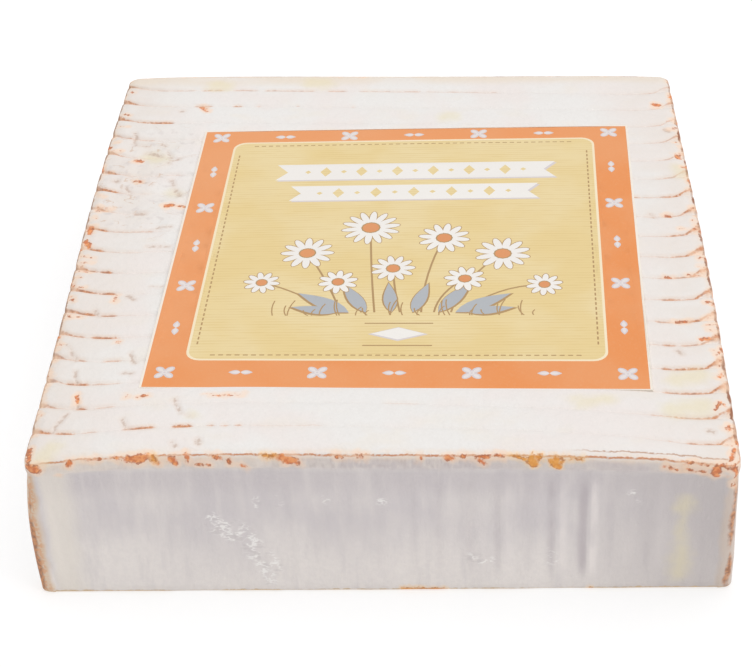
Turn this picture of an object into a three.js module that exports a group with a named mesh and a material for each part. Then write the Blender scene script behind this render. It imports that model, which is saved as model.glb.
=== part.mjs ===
import * as THREE from "three";

// A square slab of washed-rind sheep milk cheese that lies flat, with a paper label on its top.
// Millimetres, +Z up, the front face towards -Y. The origin is the middle of the underside.

// The slab
const WIDTH = 153;
const DEPTH = 168;
const HEIGHT = 37;
const CORNER_RADIUS = 3;
const HALF_WIDTH = WIDTH / 2;
const HALF_DEPTH = DEPTH / 2;

// How far each corner has drifted from a true block, as [x, y, z] at the top and [x, y] at the foot.
// The order is front left, front right, back left, back right.
const TOP_DRIFT = [[0.6, 0.5, -0.3], [0, -0.8, -0.2], [-0.6, 1.2, 0.8], [-0.8, -1.2, 0]];
const FOOT_DRIFT = [[-0.6, -1.2], [0.8, 0.3], [-0.4, 0.4], [0.4, -0.4]];

// The side edges bow outwards, each most at one place along the side
const LEFT_BOW = { reach: 1.8, y: 28, length: 62 };
const RIGHT_BOW = { reach: 1.3, y: -8, length: 72 };

// Between its corners the front edge leans back into a bevel and lifts
const FRONT_SETBACK = 1.8;
const FRONT_LIFT = 1.4;
const FRONT_REACH = 26;

// The top's low dome and its soft swells
const TOP_DOME = 0.7;
const SWELL = 0.22;
const SWELL_LENGTH = 58;

// The rim, a soft lip round the top edge with a crease below it
const LIP_HEIGHT = 3.7;
const LIP_PROUD = 0.35;
const CREASE_DEPTH = 0.8;
const TOP_ROLL = 0.55;
const TOP_ROLL_WIDTH = 3;

// Between their corners the walls sink in below the lip and run out again to the foot
const WALL_HOLLOW = 0.9;
const HOLLOW_MARGIN = 10;
const LEFT_BULGE = 1.1;
const RIGHT_BULGE = 0.2;
const RIB = 0.2;
const RIB_LENGTH = 31;
const FOOT_CHAMFER = 0.3;
const CORNER_FILL = 0.5;

// The grooves pressed across the top, counted from the front
const GROOVE_COUNT = 18;
const FIRST_GROOVE = -74.7;
const GROOVE_PITCH = 8.78;
const GROOVE_SKEW = -1.7;
const GROOVE_SAG = 3.3;
const SAG_LOSS = 0.18;
const END_BEND = 3.5;
const END_LENGTH = 14;
const GROOVE_WIDTH = 0.9;
const GROOVE_SHALLOW = 0.3;
const GROOVE_DEEP = 0.85;
const BAND_CROWN = 0.3;
const EDGE_NOTCH = 0.55;

// Dimples of the rougher left margin, each as [x, y, radius, depth]
const DIMPLES = [
  [-65.5, 44.3, 5, 0.6],
  [-68, 30.6, 4, 0.5],
  [-57.5, 25, 4.5, 0.6],
  [-70, 14, 5, 0.4],
];

// The paper label
const LABEL_SIDE = 114.5;
const LABEL_THICKNESS = 0.3;
const LABEL_GAP = 0.12;
const LABEL_X = 4;
const LABEL_Y = -2.8;
const LABEL_TURN = THREE.MathUtils.degToRad(-0.35);

// How far each corner of the label has drifted from a true square, as [x, y], in the slab's order
const LABEL_DRIFT = [[-0.6, 0.6], [-0.55, -0.3], [0.5, -1.4], [1.05, 0.2]];

// How finely each surface is divided
const COLUMNS = 34;
const COLUMN_CROWDING = 0.74;
const BAND_STEPS = [0, 0.12, 0.5, 0.88];
const FRONT_STEPS = [0, 0.07, 0.24, 0.48, 0.88];
const BACK_STEPS = [0.12, 0.52, 0.76, 0.93, 1];
const LIP_STEPS = [0.14, 0.5, 0.82, 1];
const WALL_STEPS = [0.06, 0.2, 0.42, 0.7, 1];
const LABEL_CELLS = 16;

const { clamp, lerp, smoothstep } = THREE.MathUtils;

// The bell curve that grooves and dimples share
function bell(distance, width) {
  return Math.exp(-((distance / width) ** 2));
}

// Y of a groove's bottom: it sags towards the front at both sides and bends back at its ends
function grooveY(groove, x) {
  const across = x / HALF_WIDTH;
  const end = clamp((Math.abs(x) - HALF_WIDTH + END_LENGTH) / END_LENGTH, 0, 1);
  const sag = (GROOVE_SAG - SAG_LOSS * groove) * across ** 2;
  return FIRST_GROOVE + GROOVE_PITCH * groove + GROOVE_SKEW * across - sag + END_BEND * end ** 2;
}

// Y of a row on the top: 0 is the front edge, 1 the first groove, and the last is the back edge
function rowY(row, x) {
  if (row < 1) return lerp(-HALF_DEPTH, grooveY(0, x), row);
  if (row > GROOVE_COUNT) return lerp(grooveY(GROOVE_COUNT - 1, x), HALF_DEPTH, row - GROOVE_COUNT);
  return grooveY(row - 1, x);
}

// How far a rounded corner pulls the side edge in at a place along the side
function cornerInset(y) {
  const past = Math.abs(y) - (HALF_DEPTH - CORNER_RADIUS);
  if (past <= 0) return 0;
  return CORNER_RADIUS - Math.sqrt(Math.max(0, CORNER_RADIUS ** 2 - past ** 2));
}

// How far the side edges bow outwards at a place along the side
function sideBow(side, y) {
  const bow = side < 0 ? LEFT_BOW : RIGHT_BOW;
  return bow.reach * bell(y - bow.y, bow.length);
}

// The plan of the top: side runs from -1 at the left edge to 1 at the right
function plan(side, row) {
  const y = rowY(row, side * HALF_WIDTH);
  const edgeY = rowY(row, Math.sign(side) * HALF_WIDTH);
  return [side * (HALF_WIDTH + sideBow(side, edgeY) - cornerInset(edgeY)), y];
}

// How much of a groove there is at a row, from 0 on a band to 1 in the bottom of the groove
function grooveShare(row) {
  const nearest = clamp(Math.round(row), 1, GROOVE_COUNT);
  return bell((row - nearest) * GROOVE_PITCH, GROOVE_WIDTH);
}

// Grooves are faint in the middle of the top and deep at its sides, each a little different
function grooveDepth(row, side) {
  const groove = Math.round(row);
  const uneven = 1 + 0.3 * Math.sin(2.3 * groove + 4 * side) * Math.sin(1.1 * groove);
  return lerp(GROOVE_SHALLOW, GROOVE_DEEP, smoothstep(Math.abs(side), 0.55, 1)) * uneven;
}

// Bilinear mix of one coordinate of the four corner drifts
function cornerMix(drift, coordinate, x, y, width = WIDTH, depth = DEPTH) {
  const u = x / width + 0.5;
  const v = y / depth + 0.5;
  const front = lerp(drift[0][coordinate], drift[1][coordinate], u);
  const back = lerp(drift[2][coordinate], drift[3][coordinate], u);
  return lerp(front, back, v);
}

// 1 at the front edge's middle, falling off towards its ends and towards the back
function frontMiddle(x, y) {
  const across = 1 - Math.min(1, Math.abs(x) / HALF_WIDTH) ** 4;
  return across * bell(y + HALF_DEPTH, FRONT_REACH);
}

// Height of the top without its bands and grooves
function topHeight(x, y) {
  const dome = TOP_DOME * (1 - Math.min(1, Math.abs(x) / HALF_WIDTH) ** 6);
  const swell = SWELL * Math.sin(x / SWELL_LENGTH * 2 + 0.6) * Math.cos(y / SWELL_LENGTH * 2 - 0.4);
  return HEIGHT + cornerMix(TOP_DRIFT, 2, x, y) + FRONT_LIFT * frontMiddle(x, y) + dome + swell;
}

// Height of the top with all its relief
function reliefHeight(side, row) {
  const [x, y] = plan(side, row);
  const fraction = row - Math.floor(row);
  const crown = BAND_CROWN * 4 * fraction * (1 - fraction);
  const toEdge = Math.min(HALF_WIDTH * (1 - Math.abs(side)), HALF_DEPTH - Math.abs(y));
  const roll = TOP_ROLL * Math.max(0, 1 - toEdge / TOP_ROLL_WIDTH) ** 2;
  const dimples = DIMPLES.reduce(
    (sum, [dx, dy, radius, depth]) => sum + depth * bell(Math.hypot(x - dx, y - dy), radius), 0);
  return topHeight(x, y) + crown - roll - dimples - grooveShare(row) * grooveDepth(row, side);
}

// Moves a point of the true block to where the drifted corners and the leaning front edge put it
function settle(x, y, z) {
  const up = clamp(z / HEIGHT, 0, 1);
  const lean = clamp((z - HEIGHT + LIP_HEIGHT) / LIP_HEIGHT, 0, 1);
  const shiftX = lerp(cornerMix(FOOT_DRIFT, 0, x, y), cornerMix(TOP_DRIFT, 0, x, y), up);
  const shiftY = lerp(cornerMix(FOOT_DRIFT, 1, x, y), cornerMix(TOP_DRIFT, 1, x, y), up);
  return [x + shiftX, y + shiftY + FRONT_SETBACK * lean * frontMiddle(x, y), z];
}

// How far the side edges step in at a groove's end
function edgeNotch(side, row) {
  return EDGE_NOTCH * grooveShare(row) * smoothstep(Math.abs(side), 0.9, 1);
}

// The side steps of the top, closer together towards both sides
function sideSteps() {
  return Array.from({ length: COLUMNS + 1 }, (_, i) => {
    const even = 2 * i / COLUMNS - 1;
    return even + COLUMN_CROWDING * Math.sin(Math.PI * even) / Math.PI;
  });
}

// The row steps of the top: each groove's bottom and shoulders, and the crown of each band
function rowSteps() {
  const steps = [...FRONT_STEPS];
  for (let groove = 1; groove < GROOVE_COUNT; groove += 1) {
    steps.push(...BAND_STEPS.map((step) => groove + step));
  }
  steps.push(GROOVE_COUNT, ...BACK_STEPS.map((step) => GROOVE_COUNT + step));
  return steps;
}

// How far the lip stands out at a drop from 0 at the rim to 1 at the crease
function lipOffset(drop, inside) {
  return LIP_PROUD * Math.sin(Math.PI * drop) * (1 + inside) / 2 - CREASE_DEPTH * drop ** 4 * inside;
}

// How far the wall stands out between the crease at 0 and the foot at 1, where the corners are sharper
function wallOffset(drop, inside, x, y, normal) {
  const crease = CREASE_DEPTH * (1 - drop) ** 3;
  const hollow = WALL_HOLLOW * Math.sin(Math.PI * drop ** 0.7);
  const rib = RIB * Math.sin((x + y) / RIB_LENGTH * 2 * Math.PI) * Math.sin(Math.PI * drop);
  const bulge = lerp(LEFT_BULGE, RIGHT_BULGE, x / WIDTH + 0.5) * Math.sin(Math.PI * drop ** 0.8);
  const fill = CORNER_FILL * drop * 2 * Math.abs(normal[0] * normal[1]);
  return lerp(bulge, rib - crease - hollow, inside) + fill;
}

// The closed line of the top's edge, anticlockwise from the front left, as indices into the top's grid
function edgeLoop(sides, rows) {
  const last = { side: sides.length - 1, row: rows.length - 1 };
  const loop = [];
  for (let s = 0; s < last.side; s += 1) loop.push([s, 0]);
  for (let r = 0; r < last.row; r += 1) loop.push([last.side, r]);
  for (let s = last.side; s > 0; s -= 1) loop.push([s, last.row]);
  for (let r = last.row; r > 0; r -= 1) loop.push([0, r]);
  return loop;
}

// The outward direction in plan at each point of a closed anticlockwise line
function outwardNormals(line) {
  return line.map((_, i) => {
    const before = line[(i + line.length - 1) % line.length];
    const after = line[(i + 1) % line.length];
    const along = new THREE.Vector2(after[0] - before[0], after[1] - before[1]).normalize();
    return [along.y, -along.x];
  });
}

// 0 at a corner of the slab, 1 along a wall past the stretch where it sinks in
function insideShare(x, y, normal) {
  const sideWall = Math.abs(normal[0]) > Math.abs(normal[1]);
  const toCorner = sideWall ? HALF_DEPTH - Math.abs(y) : HALF_WIDTH - Math.abs(x);
  return smoothstep(toCorner, 0, HOLLOW_MARGIN);
}

function cheeseGeometry() {
  const sides = sideSteps();
  const rows = rowSteps();
  const points = [];
  const faces = [];
  const quad = (a, b, c, d) => faces.push(a, b, c, a, c, d);

  // The top
  rows.forEach((row) => sides.forEach((side) => {
    const [x, y] = plan(side, row);
    const notched = x - Math.sign(side) * edgeNotch(side, row);
    points.push(...settle(notched, y, reliefHeight(side, row)));
  }));
  const topIndex = (s, r) => r * sides.length + s;
  for (let r = 0; r < rows.length - 1; r += 1) {
    for (let s = 0; s < sides.length - 1; s += 1) {
      quad(topIndex(s, r), topIndex(s + 1, r), topIndex(s + 1, r + 1), topIndex(s, r + 1));
    }
  }

  // The lip and the wall, ring by ring down from the top's edge
  const loop = edgeLoop(sides, rows);
  const line = loop.map(([s, r]) => plan(sides[s], rows[r]));
  const normals = outwardNormals(line);
  let above = loop.map(([s, r]) => topIndex(s, r));
  const addRing = (offsetAt, heightAt) => {
    const start = points.length / 3;
    line.forEach(([x, y], i) => {
      const offset = offsetAt(i);
      points.push(...settle(x + normals[i][0] * offset, y + normals[i][1] * offset, heightAt(i)));
    });
    const below = line.map((_, i) => start + i);
    line.forEach((_, i) => {
      const next = (i + 1) % line.length;
      quad(above[i], below[i], below[next], above[next]);
    });
    above = below;
  };
  const rim = loop.map(([s, r]) => reliefHeight(sides[s], rows[r]));
  const notches = loop.map(([s, r]) => edgeNotch(sides[s], rows[r]));
  const inside = line.map(([x, y], i) => insideShare(x, y, normals[i]));
  LIP_STEPS.forEach((drop) => addRing(
    (i) => lipOffset(drop, inside[i]) - notches[i] * (1 - drop),
    (i) => rim[i] - drop * LIP_HEIGHT,
  ));
  WALL_STEPS.forEach((drop) => addRing(
    (i) => wallOffset(drop, inside[i], ...line[i], normals[i]),
    (i) => lerp(rim[i] - LIP_HEIGHT, FOOT_CHAMFER, drop),
  ));
  addRing((i) => wallOffset(1, inside[i], ...line[i], normals[i]) - FOOT_CHAMFER, () => 0);

  // The flat underside, a fan about its middle
  const middle = points.length / 3;
  points.push(0, 0, 0);
  above.forEach((point, i) => faces.push(point, middle, above[(i + 1) % above.length]));

  const geometry = new THREE.BufferGeometry();
  geometry.setAttribute("position", new THREE.Float32BufferAttribute(points, 3));
  geometry.setIndex(faces);
  geometry.computeVertexNormals();
  geometry.computeBoundingBox();
  return geometry;
}

// The label lies on the crowns of the bands and follows the top's swells
function labelGeometry() {
  const geometry = new THREE.BoxGeometry(
    LABEL_SIDE, LABEL_SIDE, LABEL_THICKNESS, LABEL_CELLS, LABEL_CELLS, 1);
  const place = geometry.attributes.position;
  const spot = new THREE.Vector2();
  const turnedAbout = new THREE.Vector2();
  for (let i = 0; i < place.count; i += 1) {
    const flat = [place.getX(i), place.getY(i), LABEL_SIDE, LABEL_SIDE];
    const drift = [0, 1].map((coordinate) => cornerMix(LABEL_DRIFT, coordinate, ...flat));
    place.setXY(i, flat[0] + drift[0], flat[1] + drift[1]);
    spot.set(place.getX(i), place.getY(i)).rotateAround(turnedAbout, LABEL_TURN);
    const under = topHeight(spot.x + LABEL_X, spot.y + LABEL_Y) + BAND_CROWN + LABEL_GAP;
    place.setZ(i, place.getZ(i) + under + LABEL_THICKNESS / 2);
  }
  geometry.computeVertexNormals();
  return geometry;
}

const rindMaterial = new THREE.MeshStandardMaterial({ color: "#ebe3dd", roughness: 0.75, metalness: 0 });
const labelMaterial = new THREE.MeshStandardMaterial({ color: "#e9a468", roughness: 0.6, metalness: 0 });

const cheese = new THREE.Mesh(cheeseGeometry(), rindMaterial);
cheese.name = "cheese";

const label = new THREE.Mesh(labelGeometry(), labelMaterial);
label.name = "label";
label.position.set(LABEL_X, LABEL_Y, 0);
label.rotation.z = LABEL_TURN;

// The slab's own box, once settled, is centred on the origin
const middle = cheese.geometry.boundingBox.getCenter(new THREE.Vector3());
const slab = new THREE.Group();
slab.add(cheese, label);
slab.position.set(-middle.x, -middle.y, 0);

const part = new THREE.Group();
part.add(slab);

export default part;
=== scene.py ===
# A square slab of washed-rind sheep milk cheese with a paper label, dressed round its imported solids.
# Shapes are worked out in millimetres and turned into metres when a mesh is made.
import itertools
import math

import bpy
import numpy as np
from mathutils import Matrix, Vector
from mathutils.geometry import delaunay_2d_cdt


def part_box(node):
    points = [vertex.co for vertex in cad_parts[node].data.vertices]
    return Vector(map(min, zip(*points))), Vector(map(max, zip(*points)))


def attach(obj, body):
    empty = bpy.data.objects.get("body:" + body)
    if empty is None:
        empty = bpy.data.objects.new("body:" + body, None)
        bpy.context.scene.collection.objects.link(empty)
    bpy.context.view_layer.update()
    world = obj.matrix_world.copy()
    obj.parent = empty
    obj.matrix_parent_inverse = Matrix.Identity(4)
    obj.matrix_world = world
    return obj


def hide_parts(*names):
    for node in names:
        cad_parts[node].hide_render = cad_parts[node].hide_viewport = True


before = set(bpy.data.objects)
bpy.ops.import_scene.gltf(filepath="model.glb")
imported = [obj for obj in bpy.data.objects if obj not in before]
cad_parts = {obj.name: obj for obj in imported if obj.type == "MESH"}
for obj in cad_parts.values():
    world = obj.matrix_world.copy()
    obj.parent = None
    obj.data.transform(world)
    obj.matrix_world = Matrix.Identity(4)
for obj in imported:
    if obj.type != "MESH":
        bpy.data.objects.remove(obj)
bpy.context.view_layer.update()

MM = 0.001

# The slab
WIDTH = 153
DEPTH = 168
HEIGHT = 37
CORNER_RADIUS = 3
HALF_WIDTH = WIDTH / 2
HALF_DEPTH = DEPTH / 2

# How far each corner has drifted from a true block, as (x, y, z) at the top and (x, y) at the foot.
# The order is front left, front right, back left, back right.
TOP_DRIFT = ((0.6, 0.5, -0.3), (0, -0.8, -0.2), (-0.6, 1.2, 0.8), (-0.8, -1.2, 0))
FOOT_DRIFT = ((-0.6, -1.2), (0.8, 0.3), (-0.4, 0.4), (0.4, -0.4))

# The side edges bow outwards, each as (reach, y where it is most, length)
LEFT_BOW = (1.8, 28, 62)
RIGHT_BOW = (1.3, -8, 72)

# Between its corners the front edge leans back into a bevel and lifts
FRONT_SETBACK = 1.8
FRONT_LIFT = 1.4
FRONT_REACH = 26

# The top's low dome and its soft swells
TOP_DOME = 0.7
SWELL = 0.22
SWELL_LENGTH = 58

# The rim, a soft lip round the top edge with a crease below it
LIP_HEIGHT = 3.7
LIP_PROUD = 0.35
CREASE_DEPTH = 0.8
TOP_ROLL = 0.55
TOP_ROLL_WIDTH = 3

# Between their corners the walls sink in below the lip and run out again to the foot
WALL_HOLLOW = 0.9
HOLLOW_MARGIN = 10
LEFT_BULGE = 1.1
RIGHT_BULGE = 0.2
RIB = 0.2
RIB_LENGTH = 31
FOOT_CHAMFER = 0.3
CORNER_FILL = 0.5

# The grooves pressed across the top, counted from the front
GROOVE_COUNT = 18
FIRST_GROOVE = -74.7
GROOVE_PITCH = 8.78
GROOVE_SKEW = -1.7
GROOVE_SAG = 3.3
SAG_LOSS = 0.18
END_BEND = 3.5
END_LENGTH = 14
GROOVE_WIDTH = 0.9
GROOVE_SHALLOW = 0.3
GROOVE_DEEP = 0.85
BAND_CROWN = 0.3
EDGE_NOTCH = 0.55

# Dimples of the rougher left margin, each as (x, y, radius, depth)
DIMPLES = (
    (-65.5, 44.3, 5, 0.6),
    (-68, 30.6, 4, 0.5),
    (-57.5, 25, 4.5, 0.6),
    (-70, 14, 5, 0.4),
)

# The paper label
LABEL_SIDE = 114.5
LABEL_X = 4
LABEL_Y = -2.8
LABEL_TURN = math.radians(-0.35)

# How far each corner of the label has drifted from a true square, as (x, y), in the slab's order
LABEL_DRIFT = ((-0.6, 0.6), (-0.55, -0.3), (0.5, -1.4), (1.05, 0.2))

# How finely the rind is divided
COLUMNS = 242
COLUMN_CROWDING = 0.42
BAND_ROWS = 15
END_ROWS = 17
ROW_CROWDING = 0.45
LIP_RINGS = 9
WALL_RINGS = 16
NOISE_LATTICE = 32

# The grooves' own look: a shallow valley with a narrow crevice where the rind has cracked
VALLEY_SHARE = 0.3
CROWN_SHARE = 0.5
NOTCH_SHARE = 0.28
CREVICE_DEPTH = 0.3
CREVICE_WIDTH = 0.35

# Dashes of orange rind in the grooves, each as (groove, start x, end x, strength). Grooves count from 1.
DASHES = (
    (1, -74.6, -71.4, 0.9), (1, -70.6, -66, 0.7), (1, -64.5, -61, 0.35), (1, -55.5, -48.6, 0.75),
    (1, -44.6, -40.4, 1), (1, -37, -35.5, 0.5), (1, -33.8, -32.6, 0.7), (1, -30.8, -29.4, 0.6),
    (1, 62, 63, 0.4), (1, 66, 76, 0.6), (2, -67.2, -65, 0.9), (2, -63.5, -58.5, 0.3),
    (2, 59, 64, 0.4), (2, 64, 76, 0.6), (2, 1, 9, 0.2), (1, -28, -12, 0.15),
    (3, -71.5, -66, 1), (3, -65.5, -58.5, 0.35),
    (3, 62.5, 76, 0.85), (4, -75, -71.5, 0.4), (4, -70.5, -68, 0.6), (4, -64.2, -60, 0.55),
    (4, 63, 76, 0.85), (5, -76, -70, 0.6), (5, -68.5, -62, 0.8), (5, 64, 67, 0.8),
    (5, 68, 76, 0.7), (6, -76, -69, 0.85), (6, -67.6, -64, 1), (6, 63, 67, 0.6),
    (6, 67.6, 76, 0.8), (7, -76, -65.5, 0.85), (7, 65, 76, 0.6), (8, -76, -71.5, 0.7),
    (8, -71, -68, 1), (8, 65, 76, 0.65), (9, -76, -71.5, 0.9), (9, -70, -62, 0.25),
    (9, 68.5, 76, 0.7), (10, -77, -72, 1), (10, -71, -60, 0.35), (10, 71, 76, 0.75),
    (11, -77, -73.2, 0.75), (11, 68, 76, 0.5), (12, -77, -72.5, 1), (12, 61.5, 63.5, 0.9),
    (12, 70.5, 76, 0.9), (13, -77, -74, 0.9), (13, -63.5, -56, 0.2), (13, 68, 76, 0.4),
    (14, -77, -73.5, 0.6), (14, 70, 76, 0.3), (15, -71, -66, 0.35), (15, 72, 76, 0.3),
    (16, -77, -73, 0.35), (16, -72.5, -62, 0.95), (17, -77, -71, 0.35), (17, -57, -52.2, 0.9),
    (17, -46, -43.6, 0.9), (17, -39.4, -38.6, 0.7), (17, -28.3, -27.7, 0.5), (17, -12.8, -12.2, 0.6),
    (18, -76, -58, 0.3), (18, -56, -50, 0.5), (18, -47, -40, 0.3), (18, -38, -24, 0.55),
    (18, -20, -15, 0.5), (18, -11, 6, 0.4), (18, 8, 28, 0.25),
)
DASH_END = 0.8

# Orange rind that shows through the bloom on the top, each as (start x, start y, end x, end y, reach)
TOP_RUST = (
    (-67.9, -60.5, -67.4, -62.8, 0.35), (-54, -60.9, -52.2, -60.8, 0.35), (-54.8, 68.6, -53, 66.2, 0.6),
    (-69.8, 40.6, -68.4, 40.3, 0.55), (-68.6, 30.9, -66.6, 29.6, 0.5), (-58.4, 17.6, -57.2, 17.9, 0.8),
    (-57, 17.6, -53.2, 17, 0.3), (-64.9, -22.2, -65.4, -24.4, 0.3), (-56.6, -60.3, -56.3, -60.6, 0.35),
    (-77, 2, -75.6, 0.2, 0.7), (-76.6, 8.5, -76.4, 5.4, 0.8), (-75.4, -79, -74.6, -83.4, 0.7),
    (-76.4, -53, -76, -53.3, 0.5), (-76.2, -55.8, -75.8, -56, 0.5), (73.2, -41.3, 75, -41.1, 0.5),
    (73.6, -66.2, 75, -63.8, 0.25), (75, -63.8, 76, -65.2, 0.35), (74.9, -55, 75.9, -54.2, 0.4),
    (75.2, -73.4, 76, -72.4, 0.4), (76, -79.8, 75, -83.2, 0.5), (70.7, 66.9, 72, 66.5, 0.7),
    (75.2, 39.4, 75.8, 39, 0.8), (69.3, 10.7, 70.2, 10.2, 0.5), (17.4, -81.3, 17.5, -81.4, 0.4),
    (-39, -60.2, -34, -60.6, 0.16), (-34, -60.4, -30, -59.8, 0.3), (-61.9, -40.4, -61.6, -40.4, 0.4),
    (67.8, -34.5, 68.6, -34.4, 0.45), (70, -34.3, 70.8, -34.3, 0.4), (67, -15.9, 68.4, -16.1, 0.35),
)

# Old creases and scars of the bloom, greyish brown
TOP_SCARS = (
    (-73.6, -41.2, -70.6, -47.6, 0.28), (-70.1, -51.4, -68.7, -55.3, 0.3), (-68.8, -67, -70.9, -71, 0.3),
    (-70.9, -71, -71, -72.6, 0.22), (-45.6, -61.6, -43.2, -66.6, 0.38), (-43.2, -66.6, -40.8, -67.5, 0.25),
    (-67.4, -62.8, -67, -64.8, 0.25), (-56.2, -68.8, -54.4, -71.4, 0.35), (-57.8, -44.8, -56.4, -48.6, 0.4),
    (-58.6, -52.2, -56.6, -52.6, 0.4), (-69.4, -27.8, -67.9, -30, 0.4), (-62.2, -22, -60.4, -23.6, 0.5),
    (-72, 54.8, -71, 49.4, 0.4), (-71, 49, -67, 47.9, 0.22), (-63.7, 48.9, -63, 48.2, 0.4),
    (-67.6, 45.2, -62.8, 42.8, 0.5), (-61.8, 45.4, -60, 41.6, 0.4), (-60.6, 38.8, -60.2, 38.6, 0.4),
    (-59.6, 40, -57.2, 41, 0.35), (-70.6, 33.2, -68.6, 30.6, 0.5), (-66.6, 29.4, -63.6, 28, 0.3),
    (-70.6, 27, -69, 24.2, 0.35), (-58.6, 30.2, -57.4, 26.2, 0.45), (-57.4, 26.2, -55.6, 22.8, 0.55),
    (-65.4, 14.6, -64, 14.4, 0.8), (-73.6, 30.4, -72.8, 29.6, 0.6), (67, -45.6, 67.8, -46.6, 0.6),
    (71.2, -73.8, 72, -74, 0.6), (72.8, 52.2, 73.4, 51.8, 0.8), (65.4, 10.8, 66, 9.8, 0.45),
    (-59, 7.6, -55.8, 7.5, 0.25), (-61, -1, -55, -0.8, 0.3), (-60.8, 66.2, -60, 66.2, 0.4),
    (-44.2, -76.2, -43.4, -77.4, 0.4), (-38.6, -75.4, -38.2, -77, 0.45), (-57, -18.6, -54, -18.4, 0.2),
)

# Yellowish stains of the top, faint and wide
TOP_STAINS = (
    (-40.5, -67.3, -40.2, -67.6, 0.9), (66, -56, 71, -54.6, 2.4), (64, -66.4, 71, -65.6, 2.4),
    (-52, 80.6, -50, 80, 2.6), (-25, 81.4, -21, 80.8, 2.6), (13, 60.8, 15.4, 61, 1.8),
    (74, 33.6, 75, 29.6, 1.4), (-66, 43, -63, 41, 2.2), (-57.8, 25, -56.4, 23.4, 1.4),
    (44, -63.4, 50, -62.8, 1.6), (-75, -86, -70, -78, 1.6),
)

# Drops of orange rind on the front lip, each as (start x, start drop, end x, end drop, reach)
FRONT_RUST = (
    (-75, 1.3, -73.4, 1.1, 0.95), (-66.2, 0.9, -65.6, 0.9, 0.6), (-62.6, 0.3, -59, 0.3, 0.25),
    (-56.4, 0.4, -54, 0.3, 0.4), (-53, 0.7, -49.8, 0.9, 0.95), (-50, 0.7, -48, 0.5, 0.6),
    (-47.4, 1, -46.6, 1.8, 0.6), (-43.7, 0.8, -43, 1.8, 0.6), (-40.8, 0.2, -40.2, 1.2, 0.4),
    (-34.2, 0.6, -33.8, 0.8, 0.5), (-31.6, 1.6, -31.3, 1.8, 0.7), (-37.8, 2, -36, 2.4, 0.35),
    (-28.8, 2.6, -28, 2.8, 0.4), (-24, 0.2, -20.6, 0.7, 0.45), (-20.2, 0.9, -17.4, 1.2, 0.75),
    (-17.4, 1.2, -17, 2, 0.4), (-8.6, 0.4, -7.6, 0.5, 0.45), (-4, 0.2, -2.4, 0.3, 0.35),
    (9.4, 0.3, 9.8, 1, 0.35), (15.2, 0.5, 16.2, 0.9, 0.45), (18.4, 0.5, 19.2, 0.4, 0.4),
    (21.8, 0.4, 24, 0.5, 0.5), (22.6, 1.4, 23, 2, 0.4), (25.4, 0.2, 26.8, 0.3, 0.35),
    (71.8, 0.8, 71.6, 3, 0.75), (72.4, 0.2, 75.4, 0.3, 0.3), (75.6, 0.6, 76, 3, 0.6),
    (75.6, 5, 75.8, 5.6, 0.6), (64, 0.2, 70, 0.3, 0.2), (-77, 3.3, -68, 3.4, 0.14),
    (61, 1.4, 63.4, 2, 0.3), (66, 1.6, 69.4, 2.2, 0.3),
)
FRONT_AMBER = (
    (28.4, 0.2, 32.4, 1.2, 0.4), (33, 1, 33.6, 1.8, 0.95), (38, 0.8, 38.6, 2.6, 0.75),
    (37.4, 0.9, 39.2, 0.8, 0.5), (34.4, 0.9, 35.4, 0.6, 0.35), (39.6, 0.9, 44, 0.3, 0.2),
    (-47.8, 0.6, -46.8, 1.4, 0.4), (-23.6, 0.1, -21.4, 0.4, 0.3),
)

# Marks low on the front wall, each as (start x, start z, end x, end z, reach)
WALL_AMBER = (
    (4.6, 0.1, 13.6, 0.2, 0.45), (6.5, 0.5, 8, 0.8, 0.4), (46.6, 0.4, 46.7, 1.2, 0.5),
)
WALL_STAINS = (
    (65.6, 3.6, 65.8, 11, 2), (65.4, 11, 65.6, 22, 0.8), (65.8, 22.6, 66, 26, 1.8),
)

# Patches of fine wrinkles on the front wall, which also carry painted glints, each as (start x, start z, end
# x, end z, reach)
WRINKLES = (
    (-36.4, 20.5, -32.6, 16.5, 3), (-30.6, 16.5, -28, 13.5, 2.2), (-28, 12.5, -24.6, 6.8, 2.6),
    (-24.8, 6, -24.8, 3.4, 1.2), (-26.6, 25.2, -26.2, 24.8, 0.9), (-21.8, 25.2, -21.4, 24.8, 0.8),
    (-12, 26.6, -9.6, 27, 0.8), (0.4, 26, 0.8, 25.6, 0.8), (54.6, 27.4, 56.8, 24.6, 0.9),
    (72, 20.4, 72.4, 20.4, 0.6), (20, 9, 24, 8.4, 1.4), (36, 10.6, 38, 8.8, 1.3),
)
WRINKLE_HEIGHT = 0.15
WRINKLE_SIZE = 1.4

# Upright ribs of the front wall, mostly in its right half, each as (x, width, height)
RIBS = (
    (-72.5, 1.2, 0.2), (-18, 1.4, 0.12), (2, 1.6, 0.1), (9, 1.2, 0.12), (14.5, 1.4, 0.16), (21.5, 1.6, 0.18),
    (27, 1.2, 0.26), (34, 1.4, 0.14), (38.8, 1.3, 0.4), (45.6, 1.2, 0.54), (52, 2, 0.14), (59.5, 1.6, 0.14),
)
RIB_TOP = 31
RIB_FLANK = 1.3
HIDDEN_DROPS = 110
DROP_LEAN = (1.4, 1.4, 0.5)
DROP_REACH = (0.25, 0.8)
MARK_WANDER = 0.5
MARK_RAGGED = 2.6
NO_MARK = -9.0

# How deep the fine marks of the bloom go, and how high its soft bumps are
SCAR_DEPTH = 0.22
RUST_DEPTH = 0.12
PIT_DEPTH = 0.3
TOP_BUMPS = 0.07
LIP_BUMPS = 0.16
WALL_BUMPS = 0.14

# Short cracks across the top's left and right edges
EDGE_TICKS = 46
TICK_REACH = (-0.05, 0.22)

# The paper is sunk a little into the bloom, and bridges the grooves
PAPER_SUNK = 0.3
PAPER_PROUD = 0.12
LABEL_SAG = 0.05
LABEL_MARGIN = 3
LABEL_SHARP = math.radians(40)
UNDER_LABEL = 0.2

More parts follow.
